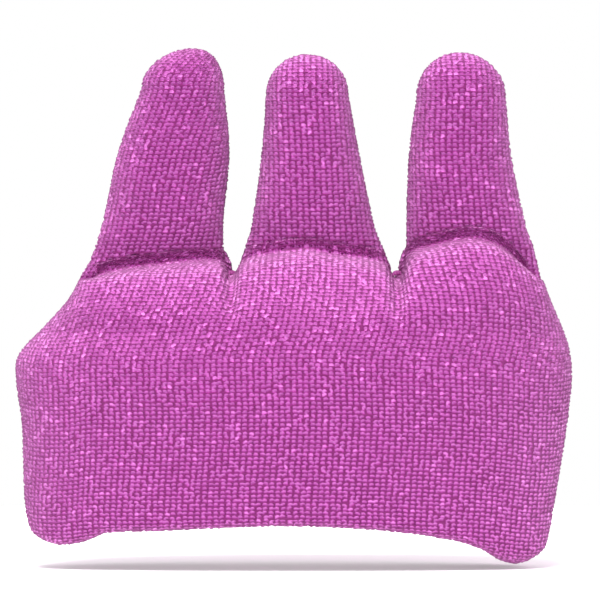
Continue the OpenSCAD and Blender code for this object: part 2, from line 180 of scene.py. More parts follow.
def sideWidths(z):  # the middle and half the width of the body at height z
    left = -bodyWidth / 2 * curveAt(z, bodySettings["leftSide"])
    right = bodyWidth / 2 * curveAt(z, bodySettings["rightSide"])
    return (left + right) / 2, (right - left) / 2


def hemHeight(across):
    middle, half = sideWidths(np.array(8.0))
    return curveAt(middle + half * across, bodySettings["hemLine"])


def boxinessAt(z):
    part = smoothStep((z - 76) / (crownZ - 76))
    return mix(bodySettings["squareUp"], bodySettings["squareUpCrown"], part)


def drawIn(x, z, towardX, towardZ, amount):  # moves points inwards in the plane of the seams
    dx, dz = towardX - x, towardZ - z
    far = np.sqrt(dx * dx + dz * dz) + 1e-6
    amount = np.minimum(amount, far) / far
    return x + dx * amount, z + dz * amount


def sewSides(q, x, y, z, middleX, middleZ):
    # the seam draws the cloth in, and the seam allowance beyond it turns inwards
    groove = bodySettings["seamDepth"] * np.exp(-(y / bodySettings["seamReach"])**2)
    beyond = np.maximum(np.maximum(-q, q - 1), 0) / bodySettings["tuckSpan"] * bodySettings["tuck"]
    x, z = drawIn(x, z, middleX, middleZ, groove + beyond)
    return x, z


def deepAt(side, z):  # the depth of the section at height z: side is -1 for the back and 1 for the face
    if side < 0:
        return backDepth * curveAt(z, bodySettings["backBulge"])
    return lipReach * curveAt(z, bodySettings["browBulge"])


def bodyShell(side, q, z, inset):
    middle, half = sideWidths(z)
    across, out = roundSection(q, boxinessAt(z))
    proud = bodySettings["proud"]
    x = middle + (half + proud - inset) * across
    y = (deepAt(side, z) + proud - inset) * out
    z = z + creaseLift(side, x, z, across)
    x, z = sewSides(q, x, y, z, middle, z)
    return x, y, z


def creaseLift(side, x, z, across):  # how much higher than the crown the crease lies at x
    crest = bodySettings["backCrest"] if side < 0 else bodySettings["browCrest"]
    rise = smoothStep((z - bodySettings["swellFrom"]) / 26)
    return (curveAt(x, crest) - crownZ) * (1 - np.abs(across)**14) * rise


def hornHalfDepth(x, z):  # how far in from its rim x lies in a horn, and half its depth there
    deep = 0
    for name in ("left", "middle", "right"):
        stations = hornSettings[name]["stations"]
        wide = curveAt(z, stations, 2) + hornSettings["proud"]
        part = np.clip(1 - np.abs((x - curveAt(z, stations, 1)) / wide) ** hornSettings["squareUp"], 0, 1)
        deep = deep + part ** (1 / hornSettings["squareUp"])
    return deep, deep * curveAt(z, hornSettings["thickness"])


def crownOver(side, q, t):
    # t runs from 0 at the shoulder to 1, inside the horns: in over the crown, then up along a horn's foot
    shoulderZ = bodySettings["shoulderZ"]
    level = shoulderZ + 4 * smoothStep(t / 0.7)
    middle, half = sideWidths(np.minimum(level, crownZ))
    across, out = roundSection(q, boxinessAt(level))
    x = middle + (half + bodySettings["proud"] - 3.5 * smoothStep(t / 0.6)) * across
    u = np.clip(t / 0.68, 0, 1)
    crease = crownZ - 2.7 * np.abs(across)**9
    z = shoulderZ + (crease - shoulderZ) * (1 - (1 - u)**1.8)
    z = z + creaseLift(side, x, z, across)
    part = hornHalfDepth(x, np.maximum(z, 98))[0]
    z = z + bodySettings["collarRise"] * smoothStep((t - 0.56) / 0.44) * smoothStep(part / 0.6)
    deep = hornHalfDepth(x, np.maximum(z, 98))[1]
    shoulder = (deepAt(side, shoulderZ) + bodySettings["proud"]) * out
    # it ends inside the horn, or past the middle where there is none
    off = 0.9 * smoothStep(t / 0.5) - 0.6 * smoothStep((t - 0.6) / 0.25)
    off = off - 2.6 * smoothStep((t - 0.86) / 0.14)
    y = deep + (shoulder - deep) * (1 - u**1.15) + off
    x, z = sewSides(q, x, np.maximum(y, 0), z, middle, z)
    return x, y, z


def hemRoll(t, radius, height):
    # t runs from 0, inside, to 1, outside: the cloth turns in round the hem
    straight = 0.35
    turn = np.pi * np.clip((t - straight) / (1 - straight), 0, 1)
    up = np.clip((straight - t) / straight, 0, 1) * 5
    return radius * (1 + np.cos(turn)), height + radius * (1 - np.sin(turn)) + up


def backSurface(q, s):
    # s: 0 to 1 round the hem, 1 to 2 up the back, 2 to 3 over the crown
    q, s = np.broadcast_arrays(np.asarray(q, float), np.asarray(s, float))
    across = roundSection(q, bodySettings["squareUp"])[0]
    radius = bodySettings["hemRadius"] + bodySettings["cornerRoll"] * np.abs(across)**8
    hem = hemHeight(across)
    inset, hemZ = hemRoll(s, radius, hem)
    shoulderZ = bodySettings["shoulderZ"]
    z = np.where(s < 1, hemZ, mix(hem + radius, shoulderZ, np.clip(s - 1, 0, 1)))
    t = np.clip(s - 2, 0, 1)
    low = bodyShell(-1, q, z, np.where(s < 1, inset, 0))
    high = crownOver(-1, q, t)
    x, y, z = [np.where(s > 2, b, a) for a, b in zip(low, high)]
    lumps = bodySettings["lumps"] * softNoise(x, z, 38, 11)
    for foldX, foldZ, height, wide, tall in bodySettings["backFolds"]:
        lumps = lumps + height * np.exp(-((x - foldX) / wide)**2 - ((z - foldZ) / tall)**2)
    rise = smoothStep(y / 12) * smoothStep((z - 22) / 20) * (1 - t)
    return np.stack([x, -(y + lumps * rise + 0.12), z], -1)


def browSurface(q, s):
    # s: 0 to 1 round the upper lip, 1 to 2 up the brow, 2 to 3 over the crown
    q, s = np.broadcast_arrays(np.asarray(q, float), np.asarray(s, float))
    radius = bodySettings["lipRadius"]
    lip = mouthZ + bodySettings["lipGap"]
    inset, lipZ = hemRoll(s, radius, lip)
    shoulderZ = bodySettings["shoulderZ"]
    z = np.where(s < 1, lip + (lipZ - lip) * np.where(s < 0.35, 0.35, 1),
                 mix(lip + radius, shoulderZ, np.clip(s - 1, 0, 1)))
    t = np.clip(s - 2, 0, 1)
    low = bodyShell(1, q, z, np.where(s < 1, inset, 0))
    high = crownOver(1, q, t)
    x, y, z = [np.where(s > 2, b, a) for a, b in zip(low, high)]
    lumps = bodySettings["lumps"] * softNoise(x, z, 34, 12)
    rise = smoothStep(y / 12) * smoothStep((z - 70) / 10) * (1 - t)
    return np.stack([x, y + lumps * rise + 0.12, z], -1)


def turnWithJaw(y, z, part=1):  # turns points down about the mouth's hinge, as far as the jaw hangs
    angle = math.radians(bodySettings["chinDroop"]) * part
    c, s = np.cos(angle), np.sin(angle)
    return y * c + (z - mouthZ) * s, mouthZ - y * s + (z - mouthZ) * c


def hangWithJaw(x, y, z):  # turns what belongs to the chin, and less and less of the throat below it
    low, high = bodySettings["chinFrom"], bodySettings["chinTo"]
    part = smoothStep((y + 1.2 * z - 60) / 34) * smoothStep((z - low) / (high - low))
    return (x, *turnWithJaw(y, z, part))


def underChin(z):  # 1 at the height where the throat falls in most
    return np.exp(-((z - 37) / 8)**2)


def throatSurface(q, s):
    # s: 0 to 1 round the hem, 1 to 2 up the throat and chin, 2 to 3 round the lower lip
    q, s = np.broadcast_arrays(np.asarray(q, float), np.asarray(s, float))
    across = roundSection(q, bodySettings["squareUp"])[0]
    hemRadius = bodySettings["hemRadius"] + bodySettings["cornerRoll"] * np.abs(across)**8
    lipRadius = bodySettings["lipRadius"]
    hem = hemHeight(across)
    inset, hemZ = hemRoll(s, hemRadius, hem)
    lip = mouthZ - bodySettings["lipGap"]
    lipInset, lipDrop = hemRoll(3 - s, lipRadius, 0)
    lipDrop = np.where(s > 2.65, lipRadius * 0.6, lipDrop)
    z = np.where(s < 1, hemZ, mix(hem + hemRadius, lip - lipRadius, np.clip(s - 1, 0, 1)))
    z = np.where(s > 2, lip - lipDrop, z)
    inset = np.where(s < 1, inset, np.where(s > 2, lipInset, 0))
    x, y, z = bodyShell(1, q, z, inset)
    hollow = bodySettings["throatHollow"] * underChin(z) * smoothStep(y / 25)
    lumps = bodySettings["lumps"] * softNoise(x, z, 30, 13)
    y = y + (lumps - hollow) * smoothStep(y / 12) * smoothStep((z - 22) / 10) * np.where(s > 2, 0.3, 1)
    x, y, z = hangWithJaw(x, y + 0.12, z)
    return np.stack([x, y, z], -1)


def hornSurface(name, side):
    horn = hornSettings[name]
    stations = horn["stations"]
    footZ, roundZ = stations[0][0], stations[-1][0]
    proud = hornSettings["proud"]
    radius = horn["tip"] - 0.6 - roundZ

    def surface(q, s):
        # s: 0 to 1 up to the round tip, 1 to 2 over it, and beyond 2 the seam allowance
        q, s = np.broadcast_arrays(np.asarray(q, float), np.asarray(s, float))
        turn = np.pi / 2 * np.clip(s - 1, 0, 1)
        level = mix(footZ, roundZ, np.clip(s, 0, 1))
        z = level + radius * np.sin(turn)
        middle = curveAt(level, stations, 1) + horn["lean"] * np.sin(turn)**2
        wide = (curveAt(level, stations, 2) + proud) * np.cos(turn)
        thick = curveAt(level, hornSettings["thickness"]) * np.cos(turn)
        across, out = roundSection(q, hornSettings["squareUp"])
        x = middle + wide * across
        y = thick * out
        lumps = hornSettings["lumps"] * softNoise(x, z + 40 * side, 24, horn["seed"])
        y = y + lumps * smoothStep(y / 6) * smoothStep((z - 104) / 8)
        tipTuck = np.maximum(s - 2, 0) / 0.2 * bodySettings["tuck"]
        x, z = sewSides(q, x, y + 40 * np.maximum(s - 2, 0), z, middle, level)
        z = z - tipTuck
        return np.stack([x, side * (y + 0.1), z], -1)

    return surface


def solveLattice(surface, sLow, sHigh, origin=0.5):
    # finds where columns and rows of mesh points, evenly spaced along the cloth, lie on the surface
    span = bodySettings["tuckSpan"]
    qs = np.concatenate([np.linspace(-span, 0, 12)[:-1], np.linspace(0, 1, 700),
                         np.linspace(1, 1 + span, 12)[1:]])
    ss = np.linspace(sLow, sHigh, 480)
    points = surface(qs[None, :], ss[:, None])
    along = np.linalg.norm(np.diff(points, axis=1), axis=2)
    arc = np.concatenate([np.zeros((len(ss), 1)), np.cumsum(along, 1)], 1)
    arc -= np.array([np.interp(origin, qs, row) for row in arc])[:, None]
    stepU = terrySettings["walePitch"] / terrySettings["steps"]
    stepV = terrySettings["coursePitch"] / terrySettings["steps"]
    columns = np.arange(math.floor(arc.min() / stepU), math.ceil(arc.max() / stepU) + 1)
    qAt = np.array([np.interp(columns * stepU, row, qs, left=np.nan, right=np.nan) for row in arc])
    widest = int(np.argmax(arc[:, -1] - arc[:, 0]))
    found = [None] * len(columns)
    nearest = int(np.argmin(np.abs(columns)))
    for c in list(range(nearest, len(columns))) + list(range(nearest - 1, -1, -1)):
        rows = np.flatnonzero(~np.isnan(qAt[:, c]))
        if len(rows) < 2:
            continue
        # a column that doesn't reach the widest row is measured from its neighbour
        anchor = int(np.clip(widest, rows[0], rows[-1]))
        beside = found[c - 1 if c > nearest else c + 1] if c != nearest else None
        level = np.interp(anchor, beside[3], beside[0]) if beside and anchor != widest else 0.0
        rows = np.arange(rows[0], rows[-1] + 1)
        column = qAt[rows, c]
        known = ~np.isnan(column)
        filled = np.where(known, column, np.interp(rows, rows[known], column[known]))
        line = surface(filled, ss[rows])
        steps = np.linalg.norm(np.diff(line, axis=0), axis=1)
        length = np.concatenate([[0], np.cumsum(steps)])
        length += level - np.interp(anchor, rows, length)
        found[c] = (length, ss[rows], filled, rows)
    lowest = min(f[0][0] for f in found if f)
    highest = max(f[0][-1] for f in found if f)
    courses = np.arange(math.floor(lowest / stepV), math.ceil(highest / stepV) + 1)
    q = np.full((len(courses), len(columns)), np.nan)
    s = np.full_like(q, np.nan)
    for c, f in enumerate(found):
        if f:
            s[:, c] = np.interp(courses * stepV, f[0], f[1], left=np.nan, right=np.nan)
            q[:, c] = np.interp(courses * stepV, f[0], f[2], left=np.nan, right=np.nan)
    return columns, courses, q, s


def loopRelief(columns, courses, seed, order):
    # the height of the loops at every mesh point, a value for the painted light on them (painted shade
    # down between the loops, a painted highlight on each loop's upper part), and a random shade for each
    # loop.
    # order, from 0 to 1, is how evenly the loops lie at each point
    look = terrySettings
    rng = np.random.default_rng(seed)
    steps = look["steps"]
    a = columns[None, :] / steps + 0 * courses[:, None]
    b = courses[:, None] / steps + 0 * columns[None, :]
    cellA, cellB = np.floor(a + 0.5).astype(int), np.floor(b + 0.5).astype(int)
    lowA, lowB = cellA.min() - 3, cellB.min() - 3
    shape = (cellB.max() - lowB + 4, cellA.max() - lowA + 4)
    shift = rng.normal(0, 1, (2,) + shape)
    angle = rng.normal(0, 1, shape)
    size = rng.uniform(0.88, 1.08, shape)
    shade = rng.uniform(0, 1, shape)
    low = rng.uniform(0, 1, shape) < 0.05
    height = np.zeros(a.shape)
    shadeAndShine = np.zeros(a.shape)
    tint = np.full(a.shape, 0.5)
    loose = 1 - order
    for da in (-1, 0, 1):
        for db in (-1, 0, 1):
            i, j = cellB + db - lowB, cellA + da - lowA
            moveA, moveB = np.clip(shift[:, i, j], -2, 2) * look["jitter"] * (0.35 + 1.1 * loose)
            x = (a - cellA - da - moveA) * look["walePitch"]
            y = (b - cellB - db - moveB) * look["coursePitch"]
            turn = (angle[i, j] * (0.4 + loose) + 0.3 * (0.5 + loose)) * look["tilt"]
            u = x * np.cos(turn) + y * np.sin(turn)
            v = -x * np.sin(turn) + y * np.cos(turn)
            v = v + look["archBend"] * u * u - 0.1
            half = look["loopHalf"] * size[i, j]
            near = np.sqrt(np.maximum(np.abs(u) - half, 0)**2 + v * v) / look["loopRadius"]
            dome = np.maximum(1 - near * near, 0) ** 0.6
            # each loop hangs, so it stands out most at its lower edge
            lean = 1 - look["lean"] * np.clip(v / look["loopRadius"], -1, 1)
            tall = dome * lean * size[i, j] * look["loopHeight"] * np.where(low[i, j], 0.55, 1)
            over = tall > height
            height = np.where(over, tall, height)
            # painted light: darkest down between the loops, lightest on each loop's upper part, as though
            # lit from above
            shadeAndShine = np.where(over, np.minimum(dome * (1.42 - 0.22 * lean), 1), shadeAndShine)
            tint = np.where(over & (dome > 0.15), shade[i, j], tint)
    ground = 0.16 * (1 + softNoise(a, b, 1.3, seed + 9))
    # where only the knit ground shows, the painted shade stays a little above its darkest
    return np.maximum(height, ground), np.maximum(shadeAndShine, ground * 0.8), tint


def terrySheet(surface, sLow, sHigh, seed, origin=0.5, inward=False):
    # works out one sheet of loops: its points, its faces and the values that colour it
    columns, courses, q, s = solveLattice(surface, sLow, sHigh, origin)
    keep = ~np.isnan(q)
    q, s = np.where(keep, q, 0.5), np.where(keep, s, (sLow + sHigh) / 2)
    base = surface(q, s)
    # the cloth's own direction, from points a little to each side, above and below
    step = 1e-3
    left = np.where(q <= 0, 0, np.where(q >= 1, 1 - 2 * step, np.clip(q - step, 0, 1)))
    right = np.where(q <= 0, 2 * step, np.where(q >= 1, 1, np.clip(q + step, 0, 1)))
    inside = np.clip(q, 2 * step, 1 - 2 * step)
    upWay = surface(inside, np.clip(s + 4 * step, sLow, sHigh)) - surface(
        inside, np.clip(s - 4 * step, sLow, sHigh))
    normal = np.cross(surface(right, s) - surface(left, s), upWay)
    if inward:
        normal = -normal
    normal /= np.linalg.norm(normal, axis=-1, keepdims=True) + 1e-9
    u = columns[None, :] * terrySettings["walePitch"] / terrySettings["steps"]
    v = courses[:, None] * terrySettings["coursePitch"] / terrySettings["steps"]
    order = np.clip(0.72 + 0.45 * softNoise(u, v, terrySettings["patchSize"], seed + 5), 0, 1)
    relief, shadeAndShine, tint = loopRelief(columns, courses, seed, order)
    beyond = np.maximum(np.maximum(-q, q - 1), 0) / bodySettings["tuckSpan"]
    fade = 1 - smoothStep(beyond * 2.2)
    points = base + normal * (relief * fade)[..., None]
    # the painted light falls to full painted shade over the seam allowance
    return {"points": points, "keep": keep, "paintedLight": shadeAndShine * fade,
            "tint": tint, "ground": normal, "columns": columns, "flip": inward}


def joinSheets(name, sheets):
    # makes one mesh out of one or more sheets
    parts = {"points": [], "paintedLight": [], "tint": [], "ground": []}
    allFaces = []
    start = 0
    for sheet in sheets:
        keep = sheet["keep"]
        number = np.cumsum(keep.ravel()).reshape(keep.shape) - 1 + start
        quads = keep[:-1, :-1] & keep[1:, :-1] & keep[:-1, 1:] & keep[1:, 1:]
        faces = np.stack([number[:-1, :-1][quads], number[:-1, 1:][quads],
                          number[1:, 1:][quads], number[1:, :-1][quads]], 1)
        if sheet["flip"]:
            faces = faces[:, ::-1]
        for label, values in parts.items():
            values.append(sheet[label][keep])
        allFaces.append(faces)
        start += int(keep.sum())
    faces = np.concatenate(allFaces)
    used = np.zeros(start, bool)
    used[faces.ravel()] = True
    parts = {label: np.concatenate(values)[used] for label, values in parts.items()}
    mesh = meshFromArrays(name, parts["points"], (np.cumsum(used) - 1)[faces])
    # the painted shade and highlight of the loops
    addValues(mesh, "paintedLight", parts["paintedLight"])
    addValues(mesh, "tint", parts["tint"])
    ground = mesh.attributes.new("ground", "FLOAT_VECTOR", "POINT")
    ground.data.foreach_set("vector", parts["ground"].astype(np.float32).ravel())
    return linkPiece(name, mesh)


def splitSheet(sheet, wanted):  # keeps the columns for which wanted is true
    part = dict(sheet)
    part["keep"] = sheet["keep"] & wanted(sheet["columns"])[None, :]
    return part


def meshFromArrays(name, points, faces):
    mesh = bpy.data.meshes.new(name)
    mesh.vertices.add(len(points))
    mesh.vertices.foreach_set("co", (np.asarray(points, float) / 1000).astype(np.float32).ravel())
    size = faces.shape[1]
    mesh.loops.add(len(faces) * size)
    mesh.loops.foreach_set("vertex_index", faces.astype(np.int32).ravel())
    mesh.polygons.add(len(faces))
    mesh.polygons.foreach_set("loop_start", np.arange(0, len(faces) * size, size, dtype=np.int32))
    mesh.polygons.foreach_set("use_smooth", np.ones(len(faces), bool))
    mesh.update(calc_edges=True)
    mesh.validate()
    return mesh


def addValues(mesh, name, values):
    attribute = mesh.attributes.new(name, "FLOAT", "POINT")
    attribute.data.foreach_set("value", np.asarray(values, np.float32))


def linkPiece(name, mesh):
    piece = bpy.data.objects.new(name, mesh)
    bpy.context.scene.collection.objects.link(piece)
    return piece


def nodeGroup(name, inputs, outputs):  # inputs and outputs are (name, kind, value)
    group = bpy.data.node_groups.new(name, "ShaderNodeTree")
    for label, kind, value in inputs:
        socket = group.interface.new_socket(label, in_out="INPUT", socket_type="NodeSocket" + kind)
        socket.default_value = value
    for label, kind in outputs:
        group.interface.new_socket(label, in_out="OUTPUT", socket_type="NodeSocket" + kind)
    return group, group.nodes.new("NodeGroupInput"), group.nodes.new("NodeGroupOutput")


def mathNode(tree, operation, first, second=None, clamp=False, third=None):
    node = tree.nodes.new("ShaderNodeMath")
    node.operation = operation
    node.use_clamp = clamp
    for socket, value in zip(node.inputs, (first, second, third)):
        if value is None:
            continue
        if isinstance(value, (int, float)):
            socket.default_value = value
        else:
            tree.links.new(value, socket)
    return node.outputs[0]


def mixColours(tree, factor, first, second):
    node = tree.nodes.new("ShaderNodeMix")
    node.data_type = "RGBA"
    colourA, colourB = node.inputs[6], node.inputs[7]
    for socket, value in ((node.inputs["Factor"], factor), (colourA, first), (colourB, second)):
        if isinstance(value, (int, float)):
            socket.default_value = value
        elif isinstance(value, tuple):
            socket.default_value = (*value, 1)
        else:
            tree.links.new(value, socket)
    return node.outputs[2]


def fibreGroup():  # short fibres and soft unevenness, for every cloth
    group, start, end = nodeGroup(
        "clothFibres", [("Fibre Scale", "Float", 3000.0), ("Patch Scale", "Float", 60.0)],
        [("Fibre", "Float"), ("Patches", "Float")])
    place = group.nodes.new("ShaderNodeTexCoord")
    fibre = group.nodes.new("ShaderNodeTexNoise")
    fibre.inputs["Detail"].default_value = 3
    fibre.inputs["Roughness"].default_value = 0.65
    fibre.inputs["Distortion"].default_value = 0.8
    patches = group.nodes.new("ShaderNodeTexNoise")
    patches.inputs["Detail"].default_value = 2
    for texture, scale in ((fibre, "Fibre Scale"), (patches, "Patch Scale")):
        group.links.new(place.outputs["Object"], texture.inputs["Vector"])
        group.links.new(start.outputs[scale], texture.inputs["Scale"])
    group.links.new(fibre.outputs["Fac"], end.inputs["Fibre"])
    group.links.new(patches.outputs["Fac"], end.inputs["Patches"])
    return group


def newMaterial(name, roughness=0.85):
    material = bpy.data.materials.new(name)
    material.use_nodes = True
    shader = material.node_tree.nodes["Principled BSDF"]
    shader.inputs["Roughness"].default_value = roughness
    return material, material.node_tree, shader


def placeGroup(tree, group, **values):
    node = tree.nodes.new("ShaderNodeGroup")
    node.node_tree = group
    for label, value in values.items():
        node.inputs[label.replace("_", " ")].default_value = value
    return node


def addBump(tree, shader, height, distance, strength=1.0):
    bump = tree.nodes.new("ShaderNodeBump")
    bump.inputs["Distance"].default_value = distance
    bump.inputs["Strength"].default_value = strength
    tree.links.new(height, bump.inputs["Height"])
    tree.links.new(bump.outputs["Normal"], shader.inputs["Normal"])


def attributeNode(tree, name):
    node = tree.nodes.new("ShaderNodeAttribute")
    node.attribute_name = name
    return node


fibresShared = fibreGroup()

terryColours = {
    # the first four colours are painted light: from painted shade down between the loops up to a painted
    # highlight on their tops
    "gap": (0.130, 0.001, 0.072),      # painted shade down between the loops
    "flank": (0.375, 0.030, 0.280),
    "loop": (0.680, 0.170, 0.610),
    # painted highlight on the tops of the loops
    "tip": (0.830, 0.290, 0.770),
    "paintedSheen": (0.86, 0.42, 0.80),        # painted sheen, where the loops are seen from the side
    "paintedSheenAmount": 0.95,
    "sheen": 0.07,
    "sheenTint": (0.92, 0.50, 0.86),
    "fibreScale": 2600.0,
    "fibreHeight": 0.00022,
}


def terryMaterial():
    look = terryColours
    material, tree, shader = newMaterial("magentaTerry", 0.9)
    # the first attribute is the painted light of the loops: painted shade between them, a painted
    # highlight on their tops
    paintedLight, tint, ground = [attributeNode(tree, name) for name in ("paintedLight", "tint", "ground")]
    fibres = placeGroup(tree, fibresShared, Fibre_Scale=look["fibreScale"], Patch_Scale=55.0)
    frayed = mathNode(tree, "MULTIPLY_ADD", fibres.outputs["Fibre"], 0.34, third=-0.17)
    height = mathNode(tree, "ADD", paintedLight.outputs["Fac"], frayed)
    # the ramp paints shade down between the loops and a highlight on each loop's upper part
    ramp = tree.nodes.new("ShaderNodeValToRGB")
    stops = ramp.color_ramp.elements
    stops[0].position, stops[0].color = 0.26, (*look["gap"], 1)
    stops[1].position, stops[1].color = 1.0, (*look["tip"], 1)
    for position, colour in ((0.48, look["flank"]), (0.74, look["loop"])):
        stop = stops.new(position)
        stop.color = (*colour, 1)
    tree.links.new(height, ramp.inputs["Fac"])
    # some loops are a little paler, and the dye is a little uneven
    paler = mathNode(tree, "MULTIPLY", tint.outputs["Fac"], 0.12)
    colour = mixColours(tree, paler, ramp.outputs["Color"], look["tip"])
    deeper = mathNode(tree, "MULTIPLY", fibres.outputs["Patches"], 0.16)
    colour = mixColours(tree, deeper, colour, look["flank"])
    # painted sheen: the loops are painted paler where the cloth is seen from the side; the angle is that
    # of the cloth, not of each loop
    facing = tree.nodes.new("ShaderNodeLayerWeight")
    facing.inputs["Blend"].default_value = 0.5
    turned = tree.nodes.new("ShaderNodeVectorTransform")
    turned.vector_type = "NORMAL"
    turned.convert_from, turned.convert_to = "OBJECT", "WORLD"
    tree.links.new(ground.outputs["Vector"], turned.inputs["Vector"])
    tree.links.new(turned.outputs["Vector"], facing.inputs["Normal"])
    # how much painted sheen: more where the cloth turns away, less down between the loops
    paintedSheenMix = mathNode(tree, "MULTIPLY", facing.outputs["Facing"], look["paintedSheenAmount"], clamp=True)
    paintedSheenMix = mathNode(tree, "MULTIPLY", paintedSheenMix, mathNode(tree, "MULTIPLY_ADD", height, 0.9, third=0.08))
    colour = mixColours(tree, paintedSheenMix, colour, look["paintedSheen"])
    tree.links.new(colour, shader.inputs["Base Color"])
    shader.inputs["Sheen Weight"].default_value = look["sheen"]
    shader.inputs["Sheen Roughness"].default_value = 0.45
    shader.inputs["Sheen Tint"].default_value = (*look["sheenTint"], 1)
    shader.inputs["Specular IOR Level"].default_value = 0.15
    addBump(tree, shader, fibres.outputs["Fibre"], look["fibreHeight"], 0.7)
    return material


terry = terryMaterial()


def jawBlend(start, end):  # the head, the jaw and two points at these distances down towards the chin
    way = np.array([0, 1, 1.2]) / 2.44
    return "head", "jaw", tuple(way * start), tuple(way * end)


def finishPiece(piece, material, body, nodes=()):
    # body: what carries the piece; when it is two bodies and two places instead, these are not used and
    # the piece only has its transform baked in
    piece.data.materials.append(material)
    if nodes:
        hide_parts(*nodes)
    if isinstance(body, str):
        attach(piece, body)
    else:
        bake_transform(piece)
    print(piece.name + ":", len(piece.data.polygons), "faces")


halves = (("Left", lambda column: column <= 0), ("Right", lambda column: column >= 0))
sheet = terrySheet(backSurface, 0, 3, 31, inward=True)
for half, wanted in halves:
    piece = joinSheets("back" + half, [splitSheet(sheet, wanted)])
    finishPiece(piece, terry, "head", ["back_panel", "back_wadding"])

brow = joinSheets("brow", [terrySheet(browSurface, 0, 3, 32)])
finishPiece(brow, terry, "head", ["face_panel", "face_wadding"])

sheet = terrySheet(throatSurface, 0, 3, 33)
for half, wanted in halves:
    piece = joinSheets("throat" + half, [splitSheet(sheet, wanted)])
    finishPiece(piece, terry, jawBlend(0.059, 0.093),
                ["throat_panel", "chin_panel", "chin_wadding"])

for name in ("left", "middle", "right"):
    horn = hornSettings[name]
    sheets = [terrySheet(hornSurface(name, -1), 0, 2.2, horn["seed"], horn["origin"], inward=True),
              terrySheet(hornSurface(name, 1), 0, 2.2, horn["seed"] + 50, horn["origin"])]
    x = 0.001 * horn["stations"][1][1]
    finishPiece(joinSheets(name + "Horn", sheets), terry,
                ("head", name + "_horn", (x, 0, 0.099), (x, 0, 0.112)),
                [f"{name}_horn_{part}" for part in ("back_cloth", "front_cloth", "filling")])


def gridPiece(name, grids, closed=True):
    # grids: (points in rows and columns, whether the rows close up, whether the columns close up)
    points, faces, across, along = [], [], [], []
    start = 0
    for grid, wrapRows, wrapColumns in grids:
        number = np.arange(grid.shape[0] * grid.shape[1]).reshape(grid.shape[:2]) + start
        number = np.pad(number, ((0, int(wrapRows)), (0, int(wrapColumns))), "wrap")
        quads = np.stack([number[:-1, :-1], number[:-1, 1:], number[1:, 1:], number[1:, :-1]], -1)
        quads = quads.reshape(-1, 4)
        if closed:  # its faces have to look outwards
            a, b, c, d = [grid.reshape(-1, 3)[quads[:, k] - start] for k in range(4)]
            if (np.cross(a, b) * c).sum() + (np.cross(a, c) * d).sum() < 0:
                quads = quads[:, ::-1]
        for lengths, axis in ((across, 1), (along, 0)):
            steps = np.diff(grid, axis=axis, prepend=np.take(grid, [0], axis))
            lengths.append(np.cumsum(np.linalg.norm(steps, axis=2), axis).ravel())
        points.append(grid.reshape(-1, 3))
        faces.append(quads)
        start += grid.shape[0] * grid.shape[1]
    mesh = meshFromArrays(name, np.concatenate(points), np.concatenate(faces))
    addValues(mesh, "across", np.concatenate(across))
    addValues(mesh, "along", np.concatenate(along))
    solid = bmesh.new()
    solid.from_mesh(mesh)
    bmesh.ops.remove_doubles(solid, verts=solid.verts, dist=2e-6)
    solid.to_mesh(mesh)
    solid.free()
    return linkPiece(name, mesh)


def fullTurn(count):
    return np.linspace(0, 2 * np.pi, count + 1)[:-1]


def bow(count):  # how a stitch stands up between its two ends
    return np.sin(np.linspace(0, np.pi, count))


def sewPiece(name, paths, radius, material, body, nodes=()):  # one length of thread for each path
    grids = []
    turn = fullTurn(8)
    for path in paths:
        path = np.asarray(path, float)
        way = np.gradient(path, axis=0)
        way /= np.linalg.norm(way, axis=1, keepdims=True)
        side = np.cross(way, [0.31, 0.22, 0.93])
        side /= np.linalg.norm(side, axis=1, keepdims=True)
        up = np.cross(way, side)
        thick = radius * np.sqrt(np.maximum(1 - np.abs(np.linspace(-1, 1, len(path)))**7, 0))
        ring = side[:, None] * np.cos(turn)[None, :, None] + up[:, None] * np.sin(turn)[None, :, None]
        grids.append((path[:, None] + ring * thick[:, None, None], False, True))
    finishPiece(gridPiece(name, grids), material, body, nodes)


def doubled(points, thickness):
    # a cloth with a rounded edge all round, from a grid of points on its outer face
    normal = np.cross(np.gradient(points, axis=1), np.gradient(points, axis=0))
    normal /= np.linalg.norm(normal, axis=2, keepdims=True) + 1e-9
    half = thickness / 2
    for axis, start in ((1, 0.0), (0, 0.6)):
        count = points.shape[axis]
        edge = np.minimum(np.arange(count), np.arange(count)[::-1]) + start
        fullness = np.sqrt(1 - (1 - np.clip(edge / 3, 0, 1))**2)
        half = half * (fullness[None, :, None] if axis else fullness[:, None, None])
    middle = points + normal * thickness / 2
    return np.concatenate([middle - normal * half, (middle + normal * half)[::-1]])


def slabPoints(outline, centre, low, high, rings):
    # rings of a flat slab: out over its top from the centre, round its edge, and back below
    outline, centre = np.asarray(outline, float), np.asarray(centre, float)
    reach = np.linalg.norm(outline - centre, axis=1, keepdims=True)
    rows = [(part, 1.0, 0.0) for part in np.linspace(0, 1, rings)[:-1]]
    rows += [(1, 0.5 + 0.5 * np.cos(turn), np.sin(turn)) for turn in np.linspace(0, np.pi, 9)]
    rows += [(part, 0.0, 0.0) for part in np.linspace(1, 0, rings)[1:]]
    grid = []
    for part, up, out in rows:
        inside = (high - low) / 2 * (1 - out)
        flat = centre + (outline - centre) * (1 - inside / reach) * part
        grid.append(np.concatenate([flat, np.full((len(flat), 1), low + (high - low) * up)], 1))
    return np.array(grid)


def withJaw(points):  # hangs what is drawn with the mouth shut on the jaw's rest angle
    y, z = turnWithJaw(points[..., 1], points[..., 2])
    return np.stack([points[..., 0], y, z], -1)


